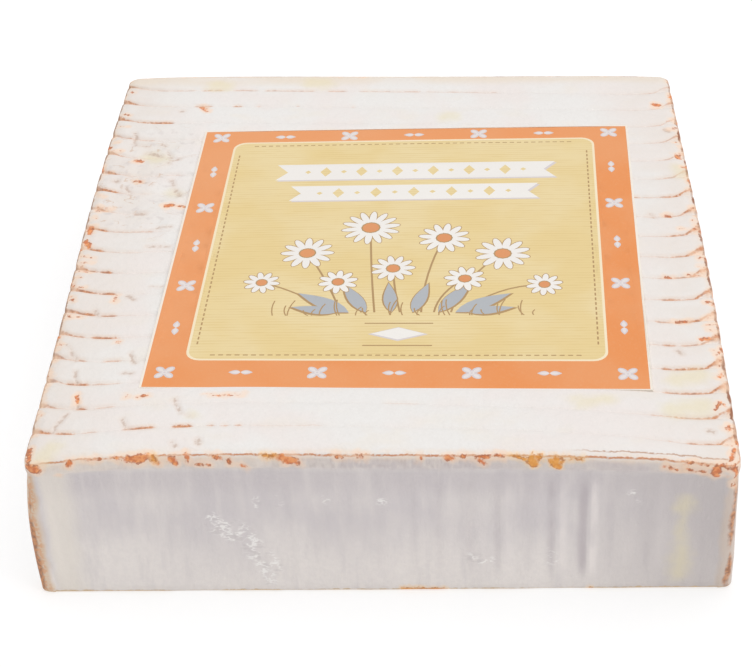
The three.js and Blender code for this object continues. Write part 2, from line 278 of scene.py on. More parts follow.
# The label's print: an orange border round a straw panel, in millimetres from the label's middle
ORANGE_HALF = 56.7
PANEL_LEFT = -47.8
PANEL_RIGHT = 47.4
PANEL_FRONT = -46.2
PANEL_BACK = 50.2
PANEL_MIDDLE = ((PANEL_LEFT + PANEL_RIGHT) / 2, (PANEL_FRONT + PANEL_BACK) / 2)
PANEL_OUTLINE = 0.6
PRINT_CELL = 2
ORNAMENT = 5.1
BORDER_COUNT = 7
RULE_REACH = 42
RULE_STEP = 1.9
RULE_WIDTH = 0.38
RULE_INSET = 1.5
LAID_PITCH = 1.05

# The two ribbons of the banner, each as (x, y, width, height, lozenges)
BANNERS = ((1, 35, 73, 7.6, 13), (1, 24.6, 64, 7, 11))

# The tuft of daisies: (x, foot x, radius, height, petals), and its leaves: (foot x, length, turn in degrees)
MEADOW_FOOT = -28
DAISIES = (
    (-24, -14, 6.6, 25, 12), (24, 12, 6.8, 24, 12), (-9, -6, 7.4, 36, 14), (9.5, 5, 6.4, 31, 12),
    (-2.5, 0, 5.4, 18, 11), (-15.5, -9, 4.8, 12.5, 10), (15, 8, 5, 13.5, 10), (34, 15, 4.4, 11, 10),
    (-34, -17, 4.4, 12.5, 10),
)
LEAVES = (
    (-12, 15, 148), (-8, 13, 118), (-2, 12, 96), (3, 12, 74),
    (9, 14, 58), (13, 15, 30), (-15, 11, 168), (16, 11, 10),
)
GRASS_COUNT = 27

# Each ink's screen colour where it is full and where the paper shows through it
INKS = {
    "paper": ((246, 238, 226), (240, 226, 212)),
    "orange": ((236, 146, 78), (237, 170, 120)),
    "cream": ((247, 232, 200), (243, 224, 188)),
    "white": ((243, 239, 234), (236, 231, 226)),
    "pearl": ((231, 223, 222), (231, 222, 216)),
    "lilac": ((214, 205, 208), (222, 213, 210)),
    "brown": ((176, 140, 92), (190, 156, 108)),
    "slate": ((176, 180, 186), (188, 190, 190)),
    "eye": ((222, 146, 92), (228, 158, 104)),
}
INK_GRAIN = 0.35
INK_FADE = 0.4

# The studio
SOFTBOX_POWER = 2.2
SOFTBOX_WIDTH = math.radians(110)
SOFTBOX_TURN = (math.radians(-8), math.radians(4), 0)
SIDELIGHT_POWER = 0.5
SIDELIGHT_WIDTH = math.radians(35)
SIDELIGHT_FROM = (0.85, -0.35, 0.4)
STUDIO_POWER = 0.3
FLOOR_SIDE = 8
FLOOR_COLOUR = (0.55, 0.55, 0.55, 1)
FLOOR_GLOW = 0.5

# The camera that the photograph was taken with, about the slab's middle
CAMERA_AZIMUTH = math.radians(4.21)
CAMERA_ELEVATION = math.radians(36.81)
CAMERA_ROLL = math.radians(-3.0)
CAMERA_TARGET = (-5.17, 11.17, 0)
CAMERA_DISTANCE = 479.1
CAMERA_LENS = 85.93
CAMERA_SENSOR = 36


# Small functions for arrays

def bell(distance, width):
    return np.exp(-((distance / width) ** 2))


def lerp(start, end, share):
    return start + (end - start) * share


def smoothstep(value, low, high):
    share = np.clip((value - low) / (high - low), 0, 1)
    return share * share * (3 - 2 * share)


def noise(points, size, seed):
    """Smooth noise from -1 to 1, which changes over about size millimetres: one number, or one per axis."""
    lattice = np.random.default_rng(seed).uniform(-1, 1, (NOISE_LATTICE,) * 3)
    place = points / np.asarray(size)
    cell = np.floor(place).astype(int)
    share = place - cell
    share = share * share * (3 - 2 * share)
    total = np.zeros(len(points))
    for corner in itertools.product((0, 1), repeat=3):
        weight = np.prod(np.where(corner, share, 1 - share), axis=1)
        index = (cell + corner) % NOISE_LATTICE
        total += weight * lattice[index[:, 0], index[:, 1], index[:, 2]]
    return total


# The slab's form

def groove_level(across):
    """Y of the first groove: it sags towards the front at both sides and bends back at its ends."""
    end = np.clip(1 - (1 - np.abs(across)) * HALF_WIDTH / END_LENGTH, 0, 1)
    return FIRST_GROOVE + GROOVE_SKEW * across - GROOVE_SAG * across ** 2 + END_BEND * end ** 2


def groove_y(groove, x):
    """Y of a groove's bottom, the first one being 0."""
    across = x / HALF_WIDTH
    return groove_level(across) + groove * (GROOVE_PITCH + SAG_LOSS * across ** 2)


def row_y(row, x):
    """Y of a row on the top: 0 is the front edge, 1 the first groove, and the last is the back edge."""
    front = lerp(-HALF_DEPTH, groove_y(0, x), row)
    back = lerp(groove_y(GROOVE_COUNT - 1, x), HALF_DEPTH, row - GROOVE_COUNT)
    inner = np.where(row > GROOVE_COUNT, back, groove_y(row - 1, x))
    return np.where(row < 1, front, inner)


def corner_inset(y):
    """How far a rounded corner pulls the side edge in."""
    past = np.maximum(0, np.abs(y) - (HALF_DEPTH - CORNER_RADIUS))
    return CORNER_RADIUS - np.sqrt(np.maximum(0, CORNER_RADIUS ** 2 - past ** 2))


def side_bow(side, y):
    """How far the side edges bow outwards at a place along the side."""
    left, right = (reach * bell(y - middle, length) for reach, middle, length in (LEFT_BOW, RIGHT_BOW))
    return np.where(side < 0, left, right)


def plan(side, row):
    """The plan of the top: side runs from -1 at the left edge to 1 at the right."""
    y = row_y(row, side * HALF_WIDTH)
    edge = row_y(row, np.sign(side) * HALF_WIDTH)
    return side * (HALF_WIDTH + side_bow(side, edge) - corner_inset(edge)), y


def nearest_groove(row):
    return np.clip(np.round(row), 1, GROOVE_COUNT)


def groove_share(row):
    return bell((row - nearest_groove(row)) * GROOVE_PITCH, GROOVE_WIDTH)


def groove_depth(row, side):
    groove = np.round(row)
    uneven = 1 + 0.3 * np.sin(2.3 * groove + 4 * side) * np.sin(1.1 * groove)
    return VALLEY_SHARE * lerp(GROOVE_SHALLOW, GROOVE_DEEP, smoothstep(np.abs(side), 0.55, 1)) * uneven


def corner_mix(drift, coordinate, x, y, width=WIDTH, depth=DEPTH):
    u = x / width + 0.5
    v = y / depth + 0.5
    front = lerp(drift[0][coordinate], drift[1][coordinate], u)
    back = lerp(drift[2][coordinate], drift[3][coordinate], u)
    return lerp(front, back, v)


def front_middle(x, y):
    across = 1 - np.minimum(1, np.abs(x) / HALF_WIDTH) ** 4
    return across * bell(y + HALF_DEPTH, FRONT_REACH)


def top_height(x, y):
    """Height of the top without its bands and grooves."""
    dome = TOP_DOME * (1 - np.minimum(1, np.abs(x) / HALF_WIDTH) ** 6)
    swell = SWELL * np.sin(x / SWELL_LENGTH * 2 + 0.6) * np.cos(y / SWELL_LENGTH * 2 - 0.4)
    return HEIGHT + corner_mix(TOP_DRIFT, 2, x, y) + FRONT_LIFT * front_middle(x, y) + dome + swell


def to_edge(side, y):
    return np.minimum(HALF_WIDTH * (1 - np.abs(side)), HALF_DEPTH - np.abs(y))


def relief_height(side, row):
    """Height of the top with its bands, grooves, rolled edge and dimples."""
    x, y = plan(side, row)
    fraction = row - np.floor(row)
    crown = CROWN_SHARE * BAND_CROWN * 4 * fraction * (1 - fraction)
    roll = TOP_ROLL * np.maximum(0, 1 - to_edge(side, y) / TOP_ROLL_WIDTH) ** 2
    dimples = sum(depth * bell(np.hypot(x - dx, y - dy), radius) for dx, dy, radius, depth in DIMPLES)
    return top_height(x, y) + crown - roll - dimples - groove_share(row) * groove_depth(row, side)


def settle(x, y, z):
    """Moves points of the true block to where the drifted corners and the leaning front edge put them."""
    up = np.clip(z / HEIGHT, 0, 1)
    lean = np.clip((z - HEIGHT + LIP_HEIGHT) / LIP_HEIGHT, 0, 1)
    shift_x = lerp(corner_mix(FOOT_DRIFT, 0, x, y), corner_mix(TOP_DRIFT, 0, x, y), up)
    shift_y = lerp(corner_mix(FOOT_DRIFT, 1, x, y), corner_mix(TOP_DRIFT, 1, x, y), up)
    return np.stack([x + shift_x, y + shift_y + FRONT_SETBACK * lean * front_middle(x, y), z], axis=-1)


def edge_notch(side, row):
    return NOTCH_SHARE * EDGE_NOTCH * groove_share(row) * smoothstep(np.abs(side), 0.9, 1)


def side_steps():
    even = np.linspace(-1, 1, COLUMNS + 1)
    return even + COLUMN_CROWDING * np.sin(np.pi * even) / np.pi


def row_steps():
    """Rows of the top, closer together towards every groove and towards the front and back edges."""
    def crowded(count):
        even = np.arange(count) / count
        return even - ROW_CROWDING * np.sin(2 * np.pi * even) / (2 * np.pi)
    first = crowded(END_ROWS)
    bands = [groove + crowded(BAND_ROWS) for groove in range(1, GROOVE_COUNT)]
    last = GROOVE_COUNT + crowded(END_ROWS)
    return np.concatenate([first, *bands, last, [GROOVE_COUNT + 1]])


def lip_offset(drop, inside):
    return LIP_PROUD * np.sin(np.pi * drop) * (1 + inside) / 2 - CREASE_DEPTH * drop ** 4 * inside


def wall_offset(drop, inside, x, y, normal):
    crease = CREASE_DEPTH * (1 - drop) ** 3
    hollow = WALL_HOLLOW * np.sin(np.pi * drop ** 0.7)
    rib = RIB * np.sin((x + y) / RIB_LENGTH * 2 * np.pi) * np.sin(np.pi * drop)
    bulge = lerp(LEFT_BULGE, RIGHT_BULGE, x / WIDTH + 0.5) * np.sin(np.pi * drop ** 0.8)
    fill = CORNER_FILL * drop * 2 * np.abs(normal[:, 0] * normal[:, 1])
    return lerp(bulge, rib - crease - hollow, inside) + fill


def edge_loop(columns, rows):
    """The closed line of the top's edge, anticlockwise from the front left, as column and row indices."""
    last_column, last_row = columns - 1, rows - 1
    loop = [(c, 0) for c in range(last_column)]
    loop += [(last_column, r) for r in range(last_row)]
    loop += [(c, last_row) for c in range(last_column, 0, -1)]
    loop += [(0, r) for r in range(last_row, 0, -1)]
    return np.array(loop)


def outward_normals(line):
    along = np.roll(line, -1, axis=0) - np.roll(line, 1, axis=0)
    along /= np.linalg.norm(along, axis=1)[:, None]
    return np.stack([along[:, 1], -along[:, 0]], axis=1)


def inside_share(x, y, normal):
    """0 at a corner of the slab, 1 along a wall past the stretch where it sinks in."""
    side_wall = np.abs(normal[:, 0]) > np.abs(normal[:, 1])
    to_corner = np.where(side_wall, HALF_DEPTH - np.abs(y), HALF_WIDTH - np.abs(x))
    return smoothstep(to_corner, 0, HOLLOW_MARGIN)


# The surface that everything on the slab is placed against

def row_at(x, y):
    """The row that passes through a place on the top."""
    across = x / HALF_WIDTH
    return 1 + (y - groove_level(across)) / (GROOVE_PITCH + SAG_LOSS * across ** 2)


def label_plane(x, y):
    """A place on the top in the label's own turned and centred plane."""
    u = (x - LABEL_X) * math.cos(LABEL_TURN) + (y - LABEL_Y) * math.sin(LABEL_TURN)
    v = (y - LABEL_Y) * math.cos(LABEL_TURN) - (x - LABEL_X) * math.sin(LABEL_TURN)
    return u, v


def past_label(x, y):
    """Millimetres that a place lies outside the label's square, negative under it."""
    u, v = label_plane(x, y)
    return np.maximum(np.abs(u), np.abs(v)) - LABEL_SIDE / 2


def left_roughness(x, y):
    """How rough the bloom is: the left margin's back half is pitted, the rest is smooth."""
    return smoothstep(-x, 50, 57) * smoothstep(y, -4, 14) * (1 - smoothstep(y, 50, 60))


# Fields of marks on the rind

def groove_marks(row, x):
    """How much orange shows in the nearest groove, from 0 to about 1."""
    groove = nearest_groove(row)
    lane = np.stack([x, groove * GROOVE_PITCH, np.zeros(len(x))], axis=1)
    ragged = 0.5 + 0.5 * noise(lane, (2.6, 1.7, 1), 11)
    to_side = HALF_WIDTH - np.abs(x)
    left = 0.5 * bell(to_side, 5) + 0.16 * bell(to_side, 17)
    back_right = np.where(groove >= 13, 0.45, 1)
    right = (0.6 * bell(to_side, 7) + 0.3 * bell(to_side, 17)) * back_right
    marks = np.where(x < 0, left, right) * (0.35 + 0.9 * ragged) + 0.05 * ragged
    for dash_groove, start, end, strength in DASHES:
        span = smoothstep(x, start - DASH_END, start + DASH_END)
        span = span * smoothstep(-x, -end - DASH_END, DASH_END - end)
        marks = np.maximum(marks, strength * span * (0.7 + 0.5 * ragged) * (groove == dash_groove))
    return marks


def segment_reach(points, start, end, reach):
    """Millimetres that each point lies inside a mark along a segment, negative outside it."""
    along = end - start
    share = np.clip(((points - start) @ along) / max(1e-9, along @ along), 0, 1)
    nearest = start + share[:, None] * along
    return reach - np.linalg.norm(points - nearest, axis=1)


def wandering(points, size, reach, seed):
    """The points moved about a little, so that straight marks come out wavy."""
    return points + np.stack([reach * noise(points, size, seed + axis) for axis in range(3)], axis=1)


def deepest(points, segments):
    """The deepest reach of each point into any of the segments, each as (start, end, reach)."""
    field = np.full(len(points), NO_MARK)
    for start, end, reach in segments:
        field = np.maximum(field, segment_reach(points, start, end, reach))
    return field


def marks_field(points, marks, place):
    """The deepest reach into any of the marks, whose ends place turns into points of the surface."""
    points = wandering(points, MARK_RAGGED, MARK_WANDER, 61)
    ends = ((place(*mark[:2]), place(*mark[2:4]), mark[4]) for mark in marks)
    return deepest(points, ends)


# Meshes

def link(name, points, faces):
    mesh = bpy.data.meshes.new(name)
    mesh.from_pydata((points * MM).tolist(), [], faces)
    mesh.validate()
    piece = bpy.data.objects.new(name, mesh)
    bpy.context.scene.collection.objects.link(piece)
    return piece


def paint(piece, fields):
    """Stores each field on the piece's points, for its material to read."""
    for name, values in fields.items():
        attribute = piece.data.attributes.new(name, "FLOAT", "POINT")
        attribute.data.foreach_set("value", np.asarray(values, np.float32))


def slab_shift(points):
    """How far the slab moves in plan, so that its box is where the frame has it."""
    low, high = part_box("cheese")
    wanted = np.array([(low.x + high.x) / 2, (low.y + high.y) / 2, 0]) / MM
    middle = (points.min(axis=0) + points.max(axis=0)) / 2
    return wanted - middle * (1, 1, 0)


def slab_rings():
    """The slab's smooth form: its points, each with its row, drop below the rim and outward way."""
    sides, rows = side_steps(), row_steps()
    side, row = (grid.ravel() for grid in np.meshgrid(sides, rows))
    columns = len(sides)
    x, y = plan(side, row)
    height = relief_height(side, row)
    loop = edge_loop(columns, len(rows))
    edge = loop[:, 1] * columns + loop[:, 0]
    line_x, line_y = x[edge], y[edge]
    normals = outward_normals(np.stack([line_x, line_y], axis=1))
    inside = inside_share(line_x, line_y, normals)
    notches = edge_notch(side, row)

    out = np.tile((0.0, 0.0, 1.0), (len(side), 1))
    out[edge] = np.column_stack([normals, np.ones(len(edge))]) / math.sqrt(2)
    rings = [settle(x - np.sign(side) * notches, y, height)]
    ways = [out]
    drops = [-to_edge(side, y)]
    level_out = np.column_stack([normals, np.zeros(len(edge))])

    def add_ring(offset, level, way=level_out):
        rings.append(settle(line_x + normals[:, 0] * offset, line_y + normals[:, 1] * offset, level))
        ways.append(way)
        drops.append(height[edge] - level)

    for drop in np.arange(1, LIP_RINGS + 1) / LIP_RINGS:
        offset = lip_offset(drop, inside) - notches[edge] * (1 - drop)
        add_ring(offset, height[edge] - drop * LIP_HEIGHT)
    for drop in np.arange(1, WALL_RINGS + 1) / WALL_RINGS:
        offset = wall_offset(drop, inside, line_x, line_y, normals)
        add_ring(offset, lerp(height[edge] - LIP_HEIGHT, FOOT_CHAMFER, drop))
    add_ring(offset - FOOT_CHAMFER, np.zeros(len(edge)), level_out * 0)
    ring_count = len(rings) - 1
    middle = np.zeros((1, 3))
    return {
        "points": np.concatenate([*rings, middle]),
        "out": np.concatenate([*ways, middle]),
        "rim": np.concatenate([*drops, [HEIGHT]]),
        "row": np.concatenate([row, np.tile(row[edge], ring_count), [0]]),
        "faces": slab_faces(columns, len(rows), edge, ring_count),
    }


def slab_faces(columns, rows, edge, ring_count):
    """Squares over the top and down the rings, and a fan over the underside."""
    grid = np.arange(rows * columns).reshape(rows, columns)
    corners = (grid[:-1, :-1], grid[:-1, 1:], grid[1:, 1:], grid[1:, :-1])
    faces = np.stack([corner.ravel() for corner in corners], axis=1).tolist()
    above = edge
    start = rows * columns
    for _ in range(ring_count):
        below = start + np.arange(len(edge))
        ring = (above, below, np.roll(below, -1), np.roll(above, -1))
        faces += np.stack(ring, axis=1).tolist()
        above = below
        start += len(edge)
    middle = np.full(len(edge), start)
    faces += np.stack([above, middle, np.roll(above, -1)], axis=1).tolist()
    return faces


def nearest_to(points, levels):
    """A function that gives the one of the points that is nearest to an x and a level."""
    def place(x, level):
        return points[np.argmin((points[:, 0] - x) ** 2 + (levels - level) ** 2)]
    return place


def front_place(slab):
    """Places on the front lip, by x and drop below the rim, which is negative on the top."""
    points, rim = slab["points"], slab["rim"]
    front = (points[:, 1] < -HALF_DEPTH + 8) & (rim >= -5)
    return nearest_to(points[front], rim[front])


def wall_place(slab):
    """Places on the front wall, by x and height."""
    points = slab["points"]
    near = points[(points[:, 1] < -HALF_DEPTH + 3) & (slab["rim"] >= 0)]
    return nearest_to(near, near[:, 2])


def top_place(x, y):
    """The point of the top that the camera shows at a place measured on the level of HEIGHT."""
    y = y - (top_height(x, y) - HEIGHT) / math.tan(CAMERA_ELEVATION)
    return np.array([x, y, top_height(x, y)])


def hidden_drops(slab):
    """Drops of orange rind round the rim where the photograph doesn't reach, drawn with a fixed seed."""
    draw = np.random.default_rng(5)
    points = slab["points"]
    hidden = (points[:, 1] > -HALF_DEPTH + 6) & (slab["rim"] > 0.2) & (slab["rim"] < 2.4)
    drops = []
    for start in points[draw.choice(np.flatnonzero(hidden), HIDDEN_DROPS, replace=False)]:
        lean = draw.uniform(-1, 1, 3) * DROP_LEAN
        drops.append((start, start + lean, draw.uniform(*DROP_REACH)))
    return deepest(points, drops)


def edge_ticks(points):
    """Short cracks that run in from the top's left and right edges, drawn with a fixed seed."""
    draw = np.random.default_rng(8)
    ticks = []
    for side in (-1, 1):
        for y in draw.uniform(-HALF_DEPTH + 2, HALF_DEPTH - 4, EDGE_TICKS):
            start = top_place(side * (HALF_WIDTH + 0.4), y)
            end = top_place(side * (HALF_WIDTH - draw.gamma(2, 0.7)), y - draw.uniform(-0.2, 1.4))
            ticks.append((start, end, draw.uniform(*TICK_REACH)))
    return deepest(points, ticks)


def fine_relief(slab, fields):
    """Millimetres that each point moves outwards for the bloom's own unevenness."""
    points, rim, row = slab["points"], slab["rim"], slab["row"]
    x, y = points[:, 0], points[:, 1]
    past = past_label(x, y)
    top = (1 - smoothstep(rim, -0.4, 0.2)) * smoothstep(past, -1, 1.6)
    soft = TOP_BUMPS * noise(points, 13, 1) + 0.05 * noise(points, (7, 3.5, 5), 2)
    soft = soft + 0.02 * noise(points, 1.5, 3)
    pitted = left_roughness(x, y) * (PIT_DEPTH * noise(points, 4, 4) + 0.1 * noise(points, 1.6, 5))
    distance = (row - nearest_groove(row)) * GROOVE_PITCH
    crevice = CREVICE_DEPTH * bell(distance, CREVICE_WIDTH) * np.clip(0.25 + fields["mark"], 0, 1)
    scars = SCAR_DEPTH * smoothstep(fields["scar"], -0.5, 0.3)
    rust = RUST_DEPTH * smoothstep(fields["rust"], -0.6, 0.2)
    on_top = top * (soft + pitted - crevice - scars - rust) - UNDER_LABEL * (1 - smoothstep(past, -1.2, 1.2))

    lip = smoothstep(rim, 0.1, 0.8) * (1 - smoothstep(rim, 2.6, LIP_HEIGHT))
    ragged = 1 + 1.2 * smoothstep(-x, 16, 22) * (1 - smoothstep(-x, 48, 54)) * (y < 0)
    on_lip = lip * ragged * (LIP_BUMPS * noise(points, (2, 2, 2.6), 6) + 0.07 * noise(points, (1, 1, 2), 7))

    wall = smoothstep(rim, LIP_HEIGHT, LIP_HEIGHT + 4)
    sweep = WALL_BUMPS * noise(points, 10, 8) + 0.05 * noise(points, (3, 3, 7), 9)
    sweep = sweep + 0.02 * noise(points, 1.4, 10)
    front = (y < -HALF_DEPTH + 4) * smoothstep(points[:, 2], 0, 8)
    ribs = sum(height * bell(x - place, width) for place, width, height in RIBS)
    wrinkled = smoothstep(fields["wrinkle"], -0.8, 0.8) * WRINKLE_HEIGHT * noise(points, WRINKLE_SIZE, 12)
    on_wall = wall * (sweep + front * (ribs + wrinkled))
    return on_top + on_lip + on_wall


def painted_rib_light_and_shade(points):
    """Painted shade and highlight of each rib of the front wall, as if lit from the right: below 0 on its
    left flank, above 0 on its right one.
    """
    x, y, z = points.T
    flanks = 0
    for place, width, height in RIBS:
        flanks = flanks + height * (x - place) / width * bell(x - place, width * RIB_FLANK)
    length = smoothstep(z, 1, 9) * (1 - smoothstep(z, RIB_TOP - 2, RIB_TOP + 3))
    return flanks * length * (y < -HALF_DEPTH + 4)


def rind_fields(slab):
    """What the rind's material reads at each point."""
    points, rim, row = slab["points"], slab["rim"], slab["row"]
    x, y = points[:, 0], points[:, 1]

    def fields_of(place, *tables):
        return [marks_field(points, marks, place) for marks in tables]

    top_rust, stain, scar = fields_of(top_place, TOP_RUST, TOP_STAINS, TOP_SCARS)
    front_rust, amber = fields_of(front_place(slab), FRONT_RUST, FRONT_AMBER)
    wall_amber, wall_stain, wrinkle = fields_of(wall_place(slab), WALL_AMBER, WALL_STAINS, WRINKLES)
    return {
        "row": row,
        "rim": rim,
        "mark": groove_marks(row, x),
        "rust": np.maximum.reduce([top_rust, front_rust, edge_ticks(points), hidden_drops(slab)]),
        "amber": np.maximum(amber, wall_amber),
        "stain": np.maximum(stain, wall_stain),
        "scar": scar,
        "wrinkle": wrinkle,
        "front": smoothstep(-y, HALF_DEPTH - 5, HALF_DEPTH - 2),
        "rib": painted_rib_light_and_shade(points),
        "corner": np.maximum(HALF_WIDTH - np.abs(x), HALF_DEPTH - np.abs(y)),
        "across": x / HALF_WIDTH,
        "rough": left_roughness(x, y),
        "back": smoothstep(y, HALF_DEPTH - 7.5, HALF_DEPTH - 3),
    }


def make_cheese():
    slab = slab_rings()
    fields = rind_fields(slab)
    shift = slab_shift(slab["points"])
    points = slab["points"] + slab["out"] * fine_relief(slab, fields)[:, None]
    piece = link("cheese_rind", points + shift, slab["faces"])
    paint(piece, fields)
    piece.data.shade_smooth()
    piece.data.materials.append(rind_material())
    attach(piece, "root")
    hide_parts("cheese")
    return shift


# Materials

# How bright each surface is lit: a white one there would show this much in linear light
TOP_LIGHT = 1.05
LIP_LIGHT = 0.96
WALL_LIGHT = 0.87


def seen(red, green, blue, light=TOP_LIGHT):
    """The surface colour that shows as this screen colour, from 0 to 255, under that much light."""
    def linear(value):
        share = value / 255
        return share / 12.92 if share <= 0.04045 else ((share + 0.055) / 1.055) ** 2.4
    return tuple(min(1, linear(value) / light) for value in (red, green, blue)) + (1,)


class Value:
    """A number in a material's nodes, which sums and products can be written with."""

    def __init__(self, graph, socket):
        self.graph = graph
        self.socket = socket

    def __add__(self, other):
        return self.graph.math("ADD", self, other)

    def __sub__(self, other):
        return self.graph.math("SUBTRACT", self, other)

    def __rsub__(self, other):
        return self.graph.math("SUBTRACT", other, self)

    def __mul__(self, other):
        return self.graph.math("MULTIPLY", self, other)

    def __truediv__(self, other):
        return self.graph.math("DIVIDE", self, other)

    def __abs__(self):
        return self.graph.math("ABSOLUTE", self)


class Graph:
    """One material's nodes. Each method adds what it names and gives its output."""

    def __init__(self, name, roughness):
        self.material = bpy.data.materials.new(name)
        self.material.use_nodes = True
        self.nodes = self.material.node_tree.nodes
        self.links = self.material.node_tree.links
        self.shader = self.nodes["Principled BSDF"]
        self.shader.inputs["Roughness"].default_value = roughness
        self.place = self.add("ShaderNodeTexCoord", {}, output="Object")

    def add(self, kind, values, output=0, **settings):
        node = self.nodes.new(kind)
        for setting, value in settings.items():
            setattr(node, setting, value)
        for socket, value in values.items():
            self.feed(node.inputs[socket], value)
        return Value(self, node.outputs[output])

    def feed(self, socket, value):
        if isinstance(value, Value):
            self.links.new(value.socket, socket)
        else:
            socket.default_value = value

    def field(self, name):
        return self.add("ShaderNodeAttribute", {}, output="Fac", attribute_name=name)

    def math(self, operation, first, second=0.0, third=0.0):
        return self.add("ShaderNodeMath", {0: first, 1: second, 2: third}, operation=operation)

    def step(self, value, low, high, start=0.0, end=1.0):
        """Start where the value is low, end where it is high, and smooth between."""
        values = {0: value, 1: low, 2: high, 3: start, 4: end}
        return self.add("ShaderNodeMapRange", values, interpolation_type="SMOOTHSTEP")

    def noise(self, size, seed, detail=2.0, stretch=(1, 1, 1)):
        """Noise from 0 to 1 that changes over about size millimetres, longer along a stretched axis."""
        scale = tuple(1 / (size * MM * share) for share in stretch)
        moved = self.add("ShaderNodeMapping", {0: self.place, 1: (seed, seed * 2.3, seed * 4.1), 3: scale})
        return self.add("ShaderNodeTexNoise", {"Vector": moved, "Scale": 1.0, "Detail": detail})

    def axis(self, name):
        """Millimetres of the surface's place along the X, Y or Z axis."""
        return self.add("ShaderNodeSeparateXYZ", {0: self.place}, output=name) / MM

    def mix_numbers(self, share, first, second):
        return self.add("ShaderNodeMix", {0: share, 2: first, 3: second})

    def mix(self, share, first, second):
        values = {0: share, 6: first, 7: second}
        return self.add("ShaderNodeMix", values, output=2, data_type="RGBA")

    def coats(self, colour, light, *coats):
        """The colour under coats of tint, each as (how much of it shows, red, green, blue)."""
        for share, *tint in coats:
            colour = self.mix(share, colour, seen(*tint, light))
        return colour

    def bump(self, height, depth, under=None):
        """Bumps as deep as depth millimetres where the height runs from 0 to 1."""
        values = {"Height": height, "Strength": 1.0, "Distance": depth * MM}
        if under is not None:
            values["Normal"] = under
        return self.add("ShaderNodeBump", values)

    def finish(self, colour, normal):
        self.feed(self.shader.inputs["Base Color"], colour)
        self.feed(self.shader.inputs["Normal"], normal)
        return self.material


def top_colour(g):
    """White bloom with soft clouds of tint, a little browner towards the left and right edges."""
    drifts = g.noise(7, 2, detail=3, stretch=(1.6, 1, 1))
    margin = g.step(abs(g.field("across")), 0.66, 1) * g.step(drifts, 0.3, 0.6, 0.45, 1)
    return g.coats(
        g.mix(g.step(g.noise(16, 1), 0.36, 0.62), seen(240, 232, 228), seen(239, 236, 233)), TOP_LIGHT,
        (g.step(drifts, 0.52, 0.72, 0, 0.5), 240, 232, 221),
        (margin * 0.85, 235, 225, 217),
        (g.step(g.noise(0.8, 20, detail=4), 0.3, 0.7, 0, 0.3), 233, 228, 224),
    )


def wall_colour(g, rim):
    """Greyer, cooler bloom on the walls: brushed up and down, paler at the foot, with painted shade under the
    lip and at the front's right end, and painted shade and highlight on the ribs.
    """
    streaks = g.noise(2.4, 3, detail=3, stretch=(1, 1, 6))
    blots = g.noise(11, 4, detail=4, stretch=(1, 1, 1.4))
    # painted shade in a band under the overhanging lip
    painted_shade_under_lip = g.step(rim, 3.4, 5, 0, 1) * g.step(rim, 7, 13, 1, 0)
    rib = g.field("rib") * g.step(g.noise(5, 31, stretch=(1, 1, 2)), 0.3, 0.6, 0.5, 1.2)
    return g.coats(
        g.mix(g.step(blots, 0.34, 0.64), seen(200, 193, 194, WALL_LIGHT), seen(211, 204, 202, WALL_LIGHT)),
        WALL_LIGHT,
        (g.step(rim + g.noise(15, 34, detail=1) * 16, 24, 43, 0, 0.8), 224, 217, 212),
        (painted_shade_under_lip * 0.6, 190, 182, 184),
        (g.step(streaks, 0.48, 0.75, 0, 0.3), 221, 214, 210),
        (g.step(streaks, 0.26, 0.5, 0.25, 0), 189, 182, 184),
        (g.step(g.noise(1.1, 18, detail=4), 0.35, 0.65, 0, 0.2), 204, 197, 196),
        # painted shade towards the right end of the front wall, where it turns away from the light
        (g.step(g.field("across"), 0.45, 1, 0, 0.75) * g.field("front"), 184, 176, 175),
        # painted shade on each rib's left flank and a painted highlight on its right one
        (g.step(rib, -0.34, 0, 0.6, 0), 178, 168, 172),
        (g.step(rib, 0, 0.34, 0, 0.55), 226, 218, 214),
    )


def lip_colour(g, rim):
    """The lip below the rim: a cream band just under the rim, a painted highlight of the rounded edge, then a
    greyed pink with short ticks down it.
    """
    ticks = g.noise(0.8, 5, detail=3, stretch=(1, 1, 3))
    wide = g.noise(7, 6)
    across = g.field("across")
    calm = g.step(across, 0.15, 0.35, 1, 0.35)
    return g.coats(
        g.mix(g.step(wide, 0.36, 0.62), seen(203, 193, 192, LIP_LIGHT), seen(213, 203, 198, LIP_LIGHT)),
        LIP_LIGHT,
        (g.step(ticks, 0.5, 0.68, 0, 0.45) * calm, 226, 216, 209),
        (g.step(ticks, 0.34, 0.48, 0.4, 0) * calm, 190, 176, 174),
        (g.step(across, -0.35, -0.15, 0.6, 0) * g.step(wide, 0.3, 0.55, 0.4, 1), 228, 216, 205),
        (g.step(across, 0.74, 0.9) * g.step(g.noise(3, 28, detail=3), 0.42, 0.62, 0, 0.8), 226, 192, 166),
        # painted highlight along the rounded edge just under the rim
        (g.step(rim + wide * 0.9, 0.9, 1.8, 0.8, 0), 236, 224, 213),
    )


def bloom_colour(g, rim):
    """The bloom all over: top, lip and walls."""
    ragged = g.noise(2.2, 19, detail=3) * 1.6
    colour = g.mix(g.step(rim, 0.3, 0.9), top_colour(g), lip_colour(g, rim))
    return g.mix(g.step(rim + ragged, 3.2, 5.2), colour, wall_colour(g, rim))


